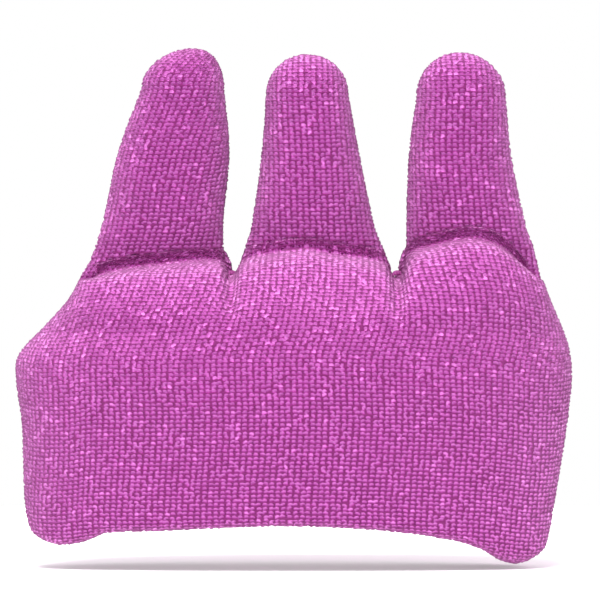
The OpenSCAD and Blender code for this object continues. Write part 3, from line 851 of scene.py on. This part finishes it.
def weaveGroup():  # a plain weave over distances across and along the cloth
    group, start, end = nodeGroup(
        "plainWeave", [("Across", "Float", 0.0), ("Along", "Float", 0.0), ("Threads", "Float", 2.0)],
        [("Height", "Float")])
    waves = []
    for label in ("Across", "Along"):
        turns = mathNode(group, "MULTIPLY", start.outputs[label], start.outputs["Threads"])
        waves.append(mathNode(group, "SINE", mathNode(group, "MULTIPLY", turns, math.pi)))
    over = mathNode(group, "GREATER_THAN", mathNode(group, "MULTIPLY", *waves), 0.0)
    under = mathNode(group, "SUBTRACT", 1.0, over)
    threads = [mathNode(group, "MULTIPLY", mathNode(group, "ABSOLUTE", wave), share)
               for wave, share in zip(waves, (over, under))]
    height = mathNode(group, "POWER", mathNode(group, "ADD", *threads), 0.6)
    group.links.new(height, end.inputs["Height"])
    return group


def feltGroup():  # matted fibres: a cloudy height and a fine one
    group, start, end = nodeGroup("mattedFelt", [("Scale", "Float", 700.0)],
                                  [("Height", "Float"), ("Clouds", "Float")])
    place = group.nodes.new("ShaderNodeTexCoord")
    for label, part, detail in (("Height", 1.0, 5), ("Clouds", 0.2, 3)):
        fibres = group.nodes.new("ShaderNodeTexNoise")
        fibres.inputs["Detail"].default_value = detail
        if label == "Height":
            fibres.inputs["Roughness"].default_value = 0.7
            fibres.inputs["Distortion"].default_value = 1.6
        group.links.new(place.outputs["Object"], fibres.inputs["Vector"])
        group.links.new(mathNode(group, "MULTIPLY", start.outputs["Scale"], part), fibres.inputs["Scale"])
        group.links.new(fibres.outputs["Fac"], end.inputs[label])
    return group


weaveShared = weaveGroup()
feltShared = feltGroup()


def setLook(shader, sheen, sheenRoughness=None, tint=None, specular=None):
    shader.inputs["Sheen Weight"].default_value = sheen
    if tint:
        shader.inputs["Sheen Roughness"].default_value = sheenRoughness
        shader.inputs["Sheen Tint"].default_value = (*tint, 1)
        shader.inputs["Specular IOR Level"].default_value = specular


def wovenMaterial(name, dark, light, threads, sheen=0.2):
    material, tree, shader = newMaterial(name, 0.85)
    weave = placeGroup(tree, weaveShared, Threads=threads)
    for label in ("Across", "Along"):
        tree.links.new(attributeNode(tree, label.lower()).outputs["Fac"], weave.inputs[label])
    fibres = placeGroup(tree, fibresShared, Fibre_Scale=3200.0, Patch_Scale=70.0)
    height = mathNode(tree, "ADD", weave.outputs["Height"],
                      mathNode(tree, "MULTIPLY", fibres.outputs["Fibre"], 0.5))
    colour = mixColours(tree, mathNode(tree, "MULTIPLY", height, 0.75, clamp=True), dark, light)
    worn = mathNode(tree, "MULTIPLY", fibres.outputs["Patches"], 0.18)
    tree.links.new(mixColours(tree, worn, colour, dark), shader.inputs["Base Color"])
    setLook(shader, sheen, 0.5, light, 0.2)
    addBump(tree, shader, height, 0.00012, 0.8)
    return material


def feltMaterial(name, dark, light, sheen=0.15):
    material, tree, shader = newMaterial(name, 0.95)
    felt = placeGroup(tree, feltShared, Scale=900.0)
    shade = mathNode(tree, "MULTIPLY_ADD", felt.outputs["Height"], 1.5, clamp=True, third=-0.25)
    colour = mixColours(tree, shade, dark, light)
    cloudy = mathNode(tree, "MULTIPLY", felt.outputs["Clouds"], 0.3)
    tree.links.new(mixColours(tree, cloudy, colour, dark), shader.inputs["Base Color"])
    setLook(shader, sheen, 0.4, light, 0.12)
    addBump(tree, shader, felt.outputs["Height"], 0.00025, 0.9)
    return material


def threadMaterial(name, dark, light):
    material, tree, shader = newMaterial(name, 0.6)
    along = mathNode(tree, "MULTIPLY", attributeNode(tree, "along").outputs["Fac"], 7.0)
    across = mathNode(tree, "MULTIPLY", attributeNode(tree, "across").outputs["Fac"], 3.0)
    twist = mathNode(tree, "SINE", mathNode(tree, "ADD", along, across))
    fibres = placeGroup(tree, fibresShared, Fibre_Scale=5000.0, Patch_Scale=90.0)
    height = mathNode(tree, "ADD", mathNode(tree, "MULTIPLY", twist, 0.4), fibres.outputs["Fibre"],
                      clamp=True)
    tree.links.new(mixColours(tree, height, dark, light), shader.inputs["Base Color"])
    setLook(shader, 0.2)
    addBump(tree, shader, height, 0.00008, 0.8)
    return material


def hardMaterial(name, colour, roughness, scratch, coat=0.0):  # plastic and card
    material, tree, shader = newMaterial(name, roughness)
    fibres = placeGroup(tree, fibresShared, Fibre_Scale=1800.0, Patch_Scale=120.0)
    paler = tuple(min(1.0, c * 1.35 + 0.012) for c in colour)
    shade = mathNode(tree, "MULTIPLY", fibres.outputs["Fibre"], 0.5)
    tree.links.new(mixColours(tree, shade, colour, paler), shader.inputs["Base Color"])
    rough = mathNode(tree, "MULTIPLY_ADD", fibres.outputs["Patches"], scratch,
                     third=max(0.0, roughness - scratch / 2))
    tree.links.new(rough, shader.inputs["Roughness"])
    shader.inputs["Coat Weight"].default_value = coat
    shader.inputs["Coat Roughness"].default_value = 0.06
    addBump(tree, shader, fibres.outputs["Fibre"], 0.00003 if coat else 0.00012, 0.5)
    return material


hemCloth = wovenMaterial("hemTape", (0.170, 0.010, 0.115), (0.400, 0.060, 0.300), 1.15)
liningCotton = wovenMaterial("liningCotton", (0.42, 0.20, 0.33), (0.78, 0.52, 0.68), 1.9)
pocketCotton = wovenMaterial("pocketCotton", (0.40, 0.19, 0.31), (0.74, 0.48, 0.64), 1.9)
labelSatin = wovenMaterial("labelSatin", (0.70, 0.69, 0.66), (0.93, 0.92, 0.90), 3.2, sheen=0.4)
mouthFelt = feltMaterial("mouthFelt", (0.115, 0.006, 0.022), (0.260, 0.020, 0.052))
tongueFelt = feltMaterial("tongueFelt", (0.48, 0.028, 0.060), (0.80, 0.085, 0.125))
eyeFelt = feltMaterial("eyeFelt", (0.66, 0.65, 0.62), (0.93, 0.92, 0.90))
plumThread = threadMaterial("plumThread", (0.16, 0.006, 0.100), (0.50, 0.060, 0.380))
paleThread = threadMaterial("paleThread", (0.55, 0.53, 0.50), (0.90, 0.88, 0.84))
redThread = threadMaterial("redThread", (0.20, 0.008, 0.020), (0.50, 0.030, 0.060))

# hem tape inside the opening
hemSettings = {
    "low": 3.4,               # the tape's lower and upper edge above the hem's edge
    "high": 12.6,
    "thickness": 1.3,
    "ribs": 420,
    "stitchRows": [5.2, 10.8],
    "stitchLength": 2.3,
    "stitchPitch": 3.0,
    "threadRadius": 0.24,
}


def bandInset(across):
    return 2 * (bodySettings["hemRadius"] + bodySettings["cornerRoll"] * np.abs(across)**8) + 1.6


def bandPoint(turn, up, deeper):  # turn: 0 to 1 across the back, 1 to 2 home across the front
    q = np.where(turn <= 1, turn, 2 - turn)
    side = np.where(turn <= 1, -1, 1)
    across, out = roundSection(q, bodySettings["squareUp"])
    z = hemHeight(across) + up
    middle, half = sideWidths(z)
    deep = np.where(side < 0, deepAt(-1, z), deepAt(1, z))
    inset = bandInset(across) + deeper
    return np.stack([middle + (half - inset) * across, side * (deep - inset) * out, z], -1)


look = hemSettings
turns = np.linspace(0, 2, 361)[:-1]
rows = []
for low, high, sign in ((look["low"], look["high"], -0.5), (look["high"], look["low"], 0.5)):
    for t in np.linspace(0, 1, 12):
        fullness = math.sqrt(max(0.0, 1 - abs(2 * t - 1)**10))
        deeper = look["thickness"] * (0.5 + sign * fullness)
        ribs = 0.10 * np.sin(turns * look["ribs"]) * (deeper > 0.6)
        rows.append(bandPoint(turns, low + (high - low) * t, deeper + ribs))
insideThroat = jawBlend(0.047, 0.081)  # what lies inside is given slightly shorter distances than the cloth
tape = gridPiece("hemBand", [(np.array(rows), True, True)])
finishPiece(tape, hemCloth, insideThroat, ["hem_band"])

fine = np.linspace(0, 2, 2001)
paths = []
for row in look["stitchRows"]:
    steps = np.linalg.norm(np.diff(bandPoint(fine, row, look["thickness"] + 0.05), axis=0), axis=1)
    length = np.concatenate([[0], np.cumsum(steps)])
    for k in range(int(length[-1] / look["stitchPitch"])):
        spots = k * look["stitchPitch"] + np.linspace(0, look["stitchLength"], 6)
        turn = np.interp(spots, length, fine)
        paths.append(bandPoint(turn, row, look["thickness"] - 0.08 + 0.26 * bow(6)))
sewPiece("hemStitches", paths, look["threadRadius"], plumThread, insideThroat)

liningSettings = {
    "low": 9.6,               # it starts behind the hem's tape
    "sideInset": 6.9,
    "handDepth": 19.6,        # depth of the hand space behind the side seams
    "palmTop": 82,
    "palmShut": 87.4,
    "thickness": 1.1,
    "throatTop": 61.0,
    "throatHollow": 2.6,
    "wrinkles": 0.35,
}


def liningPoints(side, q, s):
    # s: 0 to 1 up the wall, 1 to 2 in over the top
    look = liningSettings
    q, s = np.broadcast_arrays(q, s)
    across, out = roundSection(q, bodySettings["squareUp"])
    low = hemHeight(across) + look["low"]
    top = look["palmTop"] if side < 0 else look["throatTop"]
    turn = np.pi / 2 * np.clip(s - 1, 0, 1)
    z = mix(low, top, np.clip(s, 0, 1))
    middle, half = sideWidths(z)
    settled = smoothStep((z - low - 3) / 16)
    inset = mix(bandInset(across) - 0.2, look["sideInset"], settled)
    deep = deepAt(side, z) - inset
    if side < 0:
        deep = mix(deep, look["handDepth"], settled) * np.cos(turn) + 0.7 * np.sin(turn)
        z = z + (look["palmShut"] - top) * np.sin(turn)
    else:
        deep = deep - look["throatHollow"] * underChin(z)
    x = middle + (half - inset) * across
    y = deep * out
    creases = look["wrinkles"] * softNoise(x * 0.4, z, 13, 41 + side) * smoothStep(y / 6) * settled
    return x, np.maximum(y + creases, 0.02), z


s = np.concatenate([np.linspace(0, 1, 56), np.linspace(1, 2, 13)[1:]])
x, y, z = liningPoints(-1, np.linspace(0, 1, 150)[None, :], s[:, None])
wall = doubled(np.stack([x, -y, z], -1), liningSettings["thickness"])
finishPiece(gridPiece("backLining", [(wall, True, False)]), liningCotton, "head",
            ["sleeve_lining"])

x, y, z = hangWithJaw(*liningPoints(1, np.linspace(1, 0, 150)[None, :], np.linspace(0, 1, 48)[:, None]))
wall = doubled(np.stack([x, y, z], -1), liningSettings["thickness"])
finishPiece(gridPiece("throatLining", [(wall, True, False)]), liningCotton, insideThroat)

labelSettings = {
    "size": (14, 24),
    "middle": -38,
    "top": 51,
    "away": 1.6,              # how far its lower end swings off the lining
    "stitches": 7,
    "threadRadius": 0.17,
}
look = labelSettings
u = np.linspace(-0.5, 0.5, 22)[None, :]
v = np.linspace(0, 1, 36)[:, None]
hang = look["away"] * smoothStep(v / 0.9) + 0.35 * np.sin(5.5 * u + 2 * v) * v + 0.02
x = look["middle"] + look["size"][0] * u + 0.5 * v * v
y = -liningSettings["handDepth"] + 0.9 + liningSettings["thickness"] + hang + 0.00108 * (x - 7)**2
z = look["top"] - look["size"][1] * v * 0.997 + 0 * u
label = gridPiece("careLabel", [(np.stack([x, y, z], -1), False, False)], closed=False)
finishPiece(label, labelSatin, "head", ["care_label"])
paths = []
for k in range(look["stitches"]):
    column = int(round(((k - 3) / 7.6 + 0.5) * 21))
    spot = np.array([x[0, column], y[1, column], look["top"] - 1.3])
    reach = np.linspace(-0.75, 0.75, 6)[:, None] * [1, 0, 0.15]
    paths.append(spot + reach + bow(6)[:, None] * [0, 0.28, 0])
sewPiece("labelStitches", paths, look["threadRadius"], paleThread, "head")

pocketSettings = {
    "finger": {"low": 70.1, "high": 86.1, "halfWidth": 46, "back": 1.0, "reach": 34, "seed": 51},
    "thumb": {"low": 47.9, "high": 61.4, "halfWidth": 18, "back": 4.0, "reach": 36, "seed": 52},
    "thickness": 1.2,
    "wrinkles": 0.5,
    "squareUp": 2.8,
    "rimStitches": 46,
    "rimInset": 2.2,          # from the thumb pocket's rim to its stitches
    "threadRadius": 0.2,
    # the wall round the finger pocket's opening: half width, middle height, half height
    "wall": (76.5, 77.1, 9.8),
}


def squareRound(turn, boxiness):
    c, s = np.cos(turn), np.sin(turn)
    k = (np.abs(c)**boxiness + np.abs(s)**boxiness) ** (-1 / boxiness)
    return k * c, k * s


def pocketRings(part, deeper, turn):  # rings from the closed end to the opening, deeper inside the cloth
    look = pocketSettings[part]
    tall = (look["high"] - look["low"]) / 2
    c, s = squareRound(turn, pocketSettings["squareUp"])
    rings = []
    for v in np.concatenate([np.linspace(0, 0.25, 9), np.linspace(0.25, 1, 16)[1:]]):
        ahead = (look["reach"] - deeper) * (1 - v)
        shrink = math.sqrt(max(0.0, 1 - (1 - v)**2))
        x = (look["halfWidth"] - deeper) * shrink * c
        z = (tall - deeper) * shrink**0.45 * s
        sag = softNoise(x * 0.5, ahead * 1.3 + 9 * np.sign(z), 12, look["seed"])
        z = z - pocketSettings["wrinkles"] * np.abs(sag) * np.sign(z) * min(1, v * 10)
        y = look["back"] + ahead + 0 * x
        rings.append(np.stack([x, y, (look["low"] + look["high"]) / 2 + z], -1))
    return rings


turn = fullTurn(120)
# the finger pocket's opening turns out into a wall that closes the front of the hand space
outer = pocketRings("finger", 0, turn)
inner = pocketRings("finger", pocketSettings["thickness"], turn)
wallWide, wallZ, wallTall = pocketSettings["wall"]
c, s = squareRound(turn, 4)
narrowing = 1 - 0.10 * np.maximum(np.sin(turn), 0)
wall = np.stack([wallWide * c * narrowing, 1.2 + 0 * c, wallZ + wallTall * s], -1)
outer += [mix(outer[-1], wall, t) for t in np.linspace(0, 1, 12)[1:]]
for t in np.linspace(1, 0, 12):
    outer.append(mix(inner[-1] + [0, -0.2, 0], wall, t) - [0, 1.1 * (1 - (2 * t - 1)**12) + 0.01, 0])
pocket = gridPiece("fingerPocket", [(np.array(outer + inner[::-1][1:]), False, True)])
finishPiece(pocket, pocketCotton, "head", ["finger_pocket"])

outer = pocketRings("thumb", 0, turn)
inner = pocketRings("thumb", pocketSettings["thickness"], turn)
centre = outer[-1].mean(0)
rim = []
for a in np.linspace(0, np.pi, 9)[1:-1]:
    ring = (outer[-1] + inner[-1]) / 2 + (outer[-1] - inner[-1]) / 2 * math.cos(a)
    rim.append(centre + (ring - centre) * (1 + 0.02 * math.sin(a)) - [0, 0.8 * math.sin(a), 0])
pocket = gridPiece("thumbPocket", [(withJaw(np.array(outer + rim + inner[::-1])), False, True)])
finishPiece(pocket, pocketCotton, "jaw", ["thumb_pocket"])
thumb = pocketSettings["thumb"]
middleZ, tall = (thumb["high"] + thumb["low"]) / 2, (thumb["high"] - thumb["low"]) / 2
count = pocketSettings["rimStitches"]
paths = []
for k in range(count):
    c, s = squareRound(2 * np.pi * (k + np.linspace(0, 0.66, 5)) / count, pocketSettings["squareUp"])
    rise = 0.1 + 0.22 * bow(5)
    x, z = (thumb["halfWidth"] + rise) * c, middleZ + (tall - 0.1 + rise) * s
    paths.append(withJaw(np.stack([x, thumb["back"] + pocketSettings["rimInset"] + 0 * x, z], -1)))
sewPiece("pocketStitches", paths, pocketSettings["threadRadius"], plumThread, "jaw")

mouthSettings = {
    "inset": 3.5,
    "felt": 1.2,
    "lipsGap": 0.6,
    "hingeClear": 2.6,
    "stitchInset": 4.2,       # from the felt's edge
    "stitchPitch": 4.2,
    "threadRadius": 0.24,
    "foldRadius": 2.0,
    "foldHalfWidth": 86.5,
    "foldReach": 2.8,         # how far the fold runs on over each lining
    "cottonInset": 5.0,       # from the felt's edge to that of the cotton under the board
    "cottonUnderBoard": (61.55, 62.1),
}


def mouthOutline(inset, back, count=160):
    across, out = roundSection(np.linspace(0, 1, count), bodySettings["squareUp"])
    middle, half = sideWidths(np.array(float(mouthZ)))
    x = middle + (half - inset) * across
    front = np.stack([x, np.maximum((lipReach - inset) * out, back)], -1)
    straight = np.stack([np.linspace(x[-1], x[0], 62)[1:-1], np.full(60, back)], -1)
    return np.concatenate([front, straight])


look = mouthSettings
feltOutline = mouthOutline(look["inset"], look["hingeClear"])
for name, low, seed, body, node in (
        ("upperLining", mouthZ + look["lipsGap"], 62, "head", "upper_mouth_lining"),
        ("lowerLining", mouthZ - look["lipsGap"] - look["felt"], 61, "jaw", "lower_mouth_lining")):
    points = slabPoints(feltOutline, (0.0, 24.0), low, low + look["felt"], 26)
    points[..., 2] += 0.16 * softNoise(points[..., 0], points[..., 1], 16, seed)
    felt = gridPiece(name, [(withJaw(points) if body == "jaw" else points, False, True)])
    finishPiece(felt, mouthFelt, body, [node])

edge = mouthOutline(look["inset"] + look["stitchInset"], look["hingeClear"] + 3.0, 1200)
edge = np.concatenate([edge, edge[:1]])
length = np.concatenate([[0], np.cumsum(np.linalg.norm(np.diff(edge, axis=0), axis=1))])
for name, out, body in (("upperStitches", -1, "head"), ("lowerStitches", 1, "jaw")):
    paths = []
    for k in range(int(length[-1] / look["stitchPitch"])):
        spots = (k + np.linspace(0, 0.68, 7)) * look["stitchPitch"]
        z = mouthZ - out * look["lipsGap"] + out * (0.30 * bow(7) - 0.05)
        x, y = [np.interp(spots, length, edge[:, axis]) for axis in (0, 1)]
        path = np.stack([x, y, z], -1)
        paths.append(withJaw(path) if body == "jaw" else path)
    sewPiece(name, paths, look["threadRadius"], redThread, body)

# cotton under the lower board, over the hand
outline = mouthOutline(look["inset"] + look["cottonInset"], look["hingeClear"] + 3.6)
points = slabPoints(outline, (0.0, 24.0), *look["cottonUnderBoard"], 26)
points[..., 2] -= 0.25 + 0.22 * softNoise(points[..., 0] * 0.6, points[..., 1], 14, 64)
cotton = gridPiece("jawLining", [(withJaw(points), False, True)])
finishPiece(cotton, liningCotton, "jaw")

# the fold at the back of the mouth
across = np.linspace(-1, 1, 140)
grid = []
steps = np.linspace(-0.35, 1.35, 22)
for a, deeper in [(a, 0) for a in steps] + [(a, 1) for a in steps[::-1]]:
    past = look["foldReach"] / 0.35 * (max(0, -a) + max(0, a - 1))
    bend = np.pi / 2 + np.clip(a, 0, 1) * np.pi
    radius = look["foldRadius"] + 0.5 - deeper
    z = mouthZ + radius * math.sin(bend)
    if a > 1:
        z -= past * math.sin(math.radians(bodySettings["chinDroop"]))
    ripple = 0.14 * softNoise(across * 80, z * 4.0, 15, 71)
    y = radius * math.cos(bend) + past + ripple
    grid.append(np.stack([across * look["foldHalfWidth"], y, z + 0 * across], -1))
hingeZ = 0.001 * mouthZ
finishPiece(gridPiece("mouthFold", [(np.array(grid), True, False)]), mouthFelt,
            ("head", "jaw", (0, 0, hingeZ + 0.0016), (0, 0, hingeZ - 0.0016)), ["mouth_hinge_tape"])

tongueSettings = {
    "halfWidth": 14,
    "root": 29.5,
    "tip": 66,
    "thickness": 1.6,
    "groove": 0.55,
    "lift": 1.3,              # it rises over the lower lip
    "curl": 0.05,             # and hangs down beyond it
    "stitches": 6,
    "stitchPitch": 4.0,
    "threadRadius": 0.22,
}
look = tongueSettings
wide, root, tip = look["halfWidth"], look["root"], look["tip"]
low = mouthZ - mouthSettings["lipsGap"] + 0.05
turn = np.linspace(0, np.pi, 60)
end = np.stack([wide * np.cos(turn), tip - wide + wide * np.sin(turn)], -1)
left = np.stack([0.9 * np.linspace(0, 1, 24)**2 - wide, np.linspace(tip - wide, root, 24)], -1)[1:]
bottom = np.stack([np.linspace(-wide + 0.9, wide - 0.9, 26), np.full(26, root)], -1)[1:-1]
outline = np.concatenate([end, left, bottom, left[::-1] * [-1, 1]])
points = slabPoints(outline, (0.0, 48.0), low, low + look["thickness"], 22)
x, y = points[..., 0], points[..., 1]
groove = np.exp(-(x / 1.5)**2) * smoothStep((y - root - 4) / 6) * smoothStep((tip - 4 - y) / 8)
groove *= smoothStep((points[..., 2] - low - 0.45) / 0.8)
points[..., 2] += look["lift"] * smoothStep((y - 47) / 8) - look["curl"] * np.maximum(y - 59, 0)**2
points[..., 2] += 0.10 * softNoise(x, y, 8, 81) + 0.0028 * x * x * smoothStep((y - 50) / 10)
points[..., 2] -= look["groove"] * groove
points[..., 0] += float(sideWidths(np.array(float(mouthZ)))[0])
paths = []
for k in range(look["stitches"]):
    spots = (k - (look["stitches"] - 1) / 2) * look["stitchPitch"] + np.linspace(-1.3, 1.3, 6)
    paths.append(withJaw(np.stack([spots, root + 1.7 + 0 * spots, low + 1.55 + 0.28 * bow(6)], -1)))
sewPiece("tongueStitches", paths, look["threadRadius"], redThread, "jaw")
finishPiece(gridPiece("redTongue", [(withJaw(points), False, True)]), tongueFelt, "jaw",
            ["tongue"])

eyeSettings = {
    "pitch": 50,
    "height": 82,
    "feltRadius": 12,
    "splay": 7,
    "low": 1.0,               # the felt lies between these heights over the CAD cloth
    "high": 2.45,
    "edgeRound": 0.6,
    "stitches": 30,
    "threadRadius": 0.24,
    # each stitch runs over the felt's edge: [from the eye's middle, height]
    "stitchPath": [[9.9, 2.25], [10.2, 2.60], [10.9, 2.72], [11.6, 2.70], [12.2, 2.35], [12.5, 1.6],
                   [12.5, 0.8]],
}


def browDepth(x, z):
    middle, half = sideWidths(z)
    n = boxinessAt(z)
    part = np.clip(np.abs(x - middle) / half, 0, 0.995)
    return deepAt(1, z) * (1 - part**n) ** (1 / n)


def eyePlace(side):  # the middle of an eye on the cloth, and the directions right, up and out of it
    look = eyeSettings
    z = float(look["height"])
    middle, half = [float(v) for v in sideWidths(np.array(z))]
    x = side * look["pitch"] / 2 + middle
    n = bodySettings["squareUp"]
    full = (1 - (abs(x - middle) / half)**n) ** (1 / n)
    fall = float(deepAt(1, np.array(z - 3)) - deepAt(1, np.array(z + 3)))
    lean = math.atan2(fall * full, 6)
    splay = math.radians(-side * look["splay"])
    out = np.array([-math.sin(splay) * math.cos(lean), math.cos(splay) * math.cos(lean), math.sin(lean)])
    right = np.array([math.cos(splay), math.sin(splay), 0])
    return np.array([x, float(deepAt(1, np.array(z))) * full, z]), right, np.cross(right, out), out


def onBrow(side, radius, angle, height):  # a point of the curved felt, at a radius from the eye's middle
    place, right, up, out = eyePlace(side)
    aside, above = radius * np.cos(angle), radius * np.sin(angle)
    flat = place + (right * aside[..., None] + up * above[..., None])
    bent = browDepth(flat[..., 0], flat[..., 2]) - flat[..., 1]
    bent = bent - (browDepth(place[0], np.array(place[2])) - place[1])
    flat[..., 1] += np.clip(bent, -4, 1) * smoothStep((radius - 4.5) / 6.5)
    return flat + out * np.asarray(height)[..., None]


look = eyeSettings
angle = fullTurn(96)
thick, rounding = look["high"] - look["low"], look["edgeRound"]
inside = look["feltRadius"] - rounding
rows = [(r, look["high"]) for r in np.linspace(0, inside, 14)]
rows += [(inside + rounding * math.sin(a), look["low"] + thick * (0.5 + 0.5 * math.cos(a)))
         for a in np.linspace(0, np.pi, 9)[1:-1]]
rows += [(r, look["low"]) for r in np.linspace(inside, 0, 14)]
for side, name in ((-1, "left"), (1, "right")):
    grid = []
    for r, height in rows:
        wave = 0.06 * softNoise(r * np.cos(angle), r * np.sin(angle), 6, 91 + side)
        grid.append(onBrow(side, r + 0 * angle, angle, height + wave))
    felt = gridPiece(name + "EyeFelt", [(np.array(grid), False, True)])
    finishPiece(felt, eyeFelt, "head", [name + "_eye_felt"])
    paths = []
    for k in range(look["stitches"]):
        a = 2 * np.pi * (k + 0.15 * math.sin(k * 2.3)) / look["stitches"] + np.linspace(0, 0.05, 7)
        r, height = np.array(look["stitchPath"]).T
        paths.append(onBrow(side, r, a, height))
    sewPiece(name + "EyeStitches", paths, look["threadRadius"], paleThread, "head")

# the short seams between the horns
notchSettings = {
    "places": [-20.5, 34.2],
    "height": 96.4,
    "reach": 6.0,
    "stitches": 7,
    "halfWidth": 2.1,
    "threadRadius": 0.36,
}
look = notchSettings
t = np.linspace(-1, 1, 9)
for middleX, name in zip(look["places"], ("left", "right")):
    paths = []
    for k in range(look["stitches"]):
        middleY = look["reach"] * (2 * k / (look["stitches"] - 1) - 1)
        z = look["height"] - 0.022 * middleY**2 + 0.9 * (1 - t * t) - 0.6 * np.abs(t)**3
        paths.append(np.stack([middleX + look["halfWidth"] * t, middleY + 0.55 * t, z], -1))
    sewPiece(name + "NotchSeam", paths, look["threadRadius"], plumThread, "head",
             ["notch_seams"])

# the hard parts are kept from the CAD
blackPlastic = hardMaterial("blackPlastic", (0.006, 0.006, 0.008), 0.22, 0.12, coat=0.8)
nylon = hardMaterial("nylon", (0.78, 0.78, 0.76), 0.42, 0.15)
pressedCard = hardMaterial("pressedCard", (0.085, 0.075, 0.065), 0.75, 0.2)
for material, slot, nodes in ((blackPlastic, "eye_black", ("left_eye", "right_eye")),
                              (nylon, "washer", ("left_eye_washer", "right_eye_washer")),
                              (pressedCard, "board", ("upper_mouth_board", "lower_mouth_board"))):
    for node in nodes:
        kept = frame["nodes"][node]
        kept.data.materials.clear()
        kept.data.materials.append(material)
        kept.data.polygons.foreach_set("use_smooth", np.ones(len(kept.data.polygons), bool))
        kept.data.set_sharp_from_angle(angle=math.radians(35))
print("hard parts given their materials")

studioSettings = {
    "lens": 300,
    "viewWidth": 0.198,       # what the camera sees across
    "aim": (0.0020, 0, 0.0878),
    "worldLight": 0.66,
    "keyPlace": (-0.25, -1.1, 2.3),
    "keySize": 1.1,
    "keyPower": 85,
    "fillPlace": (1.2, 1.6, 0.9),
    "fillSize": 1.2,
    "fillPower": 12,
    "floorRadius": 0.5,
}


def makeStudio():
    look = studioSettings
    scene = bpy.context.scene
    aim = np.array(look["aim"])
    camera = bpy.data.objects.new("camera", bpy.data.cameras.new("camera"))
    scene.collection.objects.link(camera)
    camera.data.lens = look["lens"]
    away = look["viewWidth"] / camera.data.sensor_width * look["lens"]
    camera.location = (aim[0], aim[1] - away, aim[2])
    camera.rotation_euler = (math.pi / 2, 0, 0)
    camera.data.clip_start = 0.05
    camera.data.clip_end = 30
    scene.camera = camera

    for name in ("key", "fill"):
        light = bpy.data.lights.new(name + "Light", "AREA")
        light.size = look[name + "Size"]
        light.energy = look[name + "Power"]
        lamp = bpy.data.objects.new(name + "Light", light)
        lamp.location = look[name + "Place"]
        towards = aim - np.array(look[name + "Place"])
        lamp.rotation_euler = Vector(towards).to_track_quat("-Z", "Y").to_euler()
        scene.collection.objects.link(lamp)

    world = bpy.data.worlds.new("whiteRoom")
    world.use_nodes = True
    scene.world = world
    tree = world.node_tree
    background = tree.nodes["Background"]
    path = tree.nodes.new("ShaderNodeLightPath")
    strength = mathNode(tree, "MULTIPLY_ADD", path.outputs["Is Camera Ray"], 1 - look["worldLight"],
                        third=look["worldLight"])
    background.inputs["Color"].default_value = (1, 1, 1, 1)
    tree.links.new(strength, background.inputs["Strength"])

    turn = fullTurn(96)
    rim = np.stack([np.cos(turn), np.sin(turn), 0 * turn], 1) * look["floorRadius"] * 1000
    floor = linkPiece("floor", meshFromArrays("floor", rim - [0, 0, 0.5], np.arange(96)[None, :]))
    material, tree, shader = newMaterial("paleFloor", 0.9)
    shader.inputs["Base Color"].default_value = (0.93, 0.93, 0.935, 1)
    shader.inputs["Emission Color"].default_value = (1, 1, 1, 1)
    shader.inputs["Emission Strength"].default_value = 0.3
    floor.data.materials.append(material)
    scene.view_settings.view_transform = "Standard"


makeStudio()
print("studio ready")
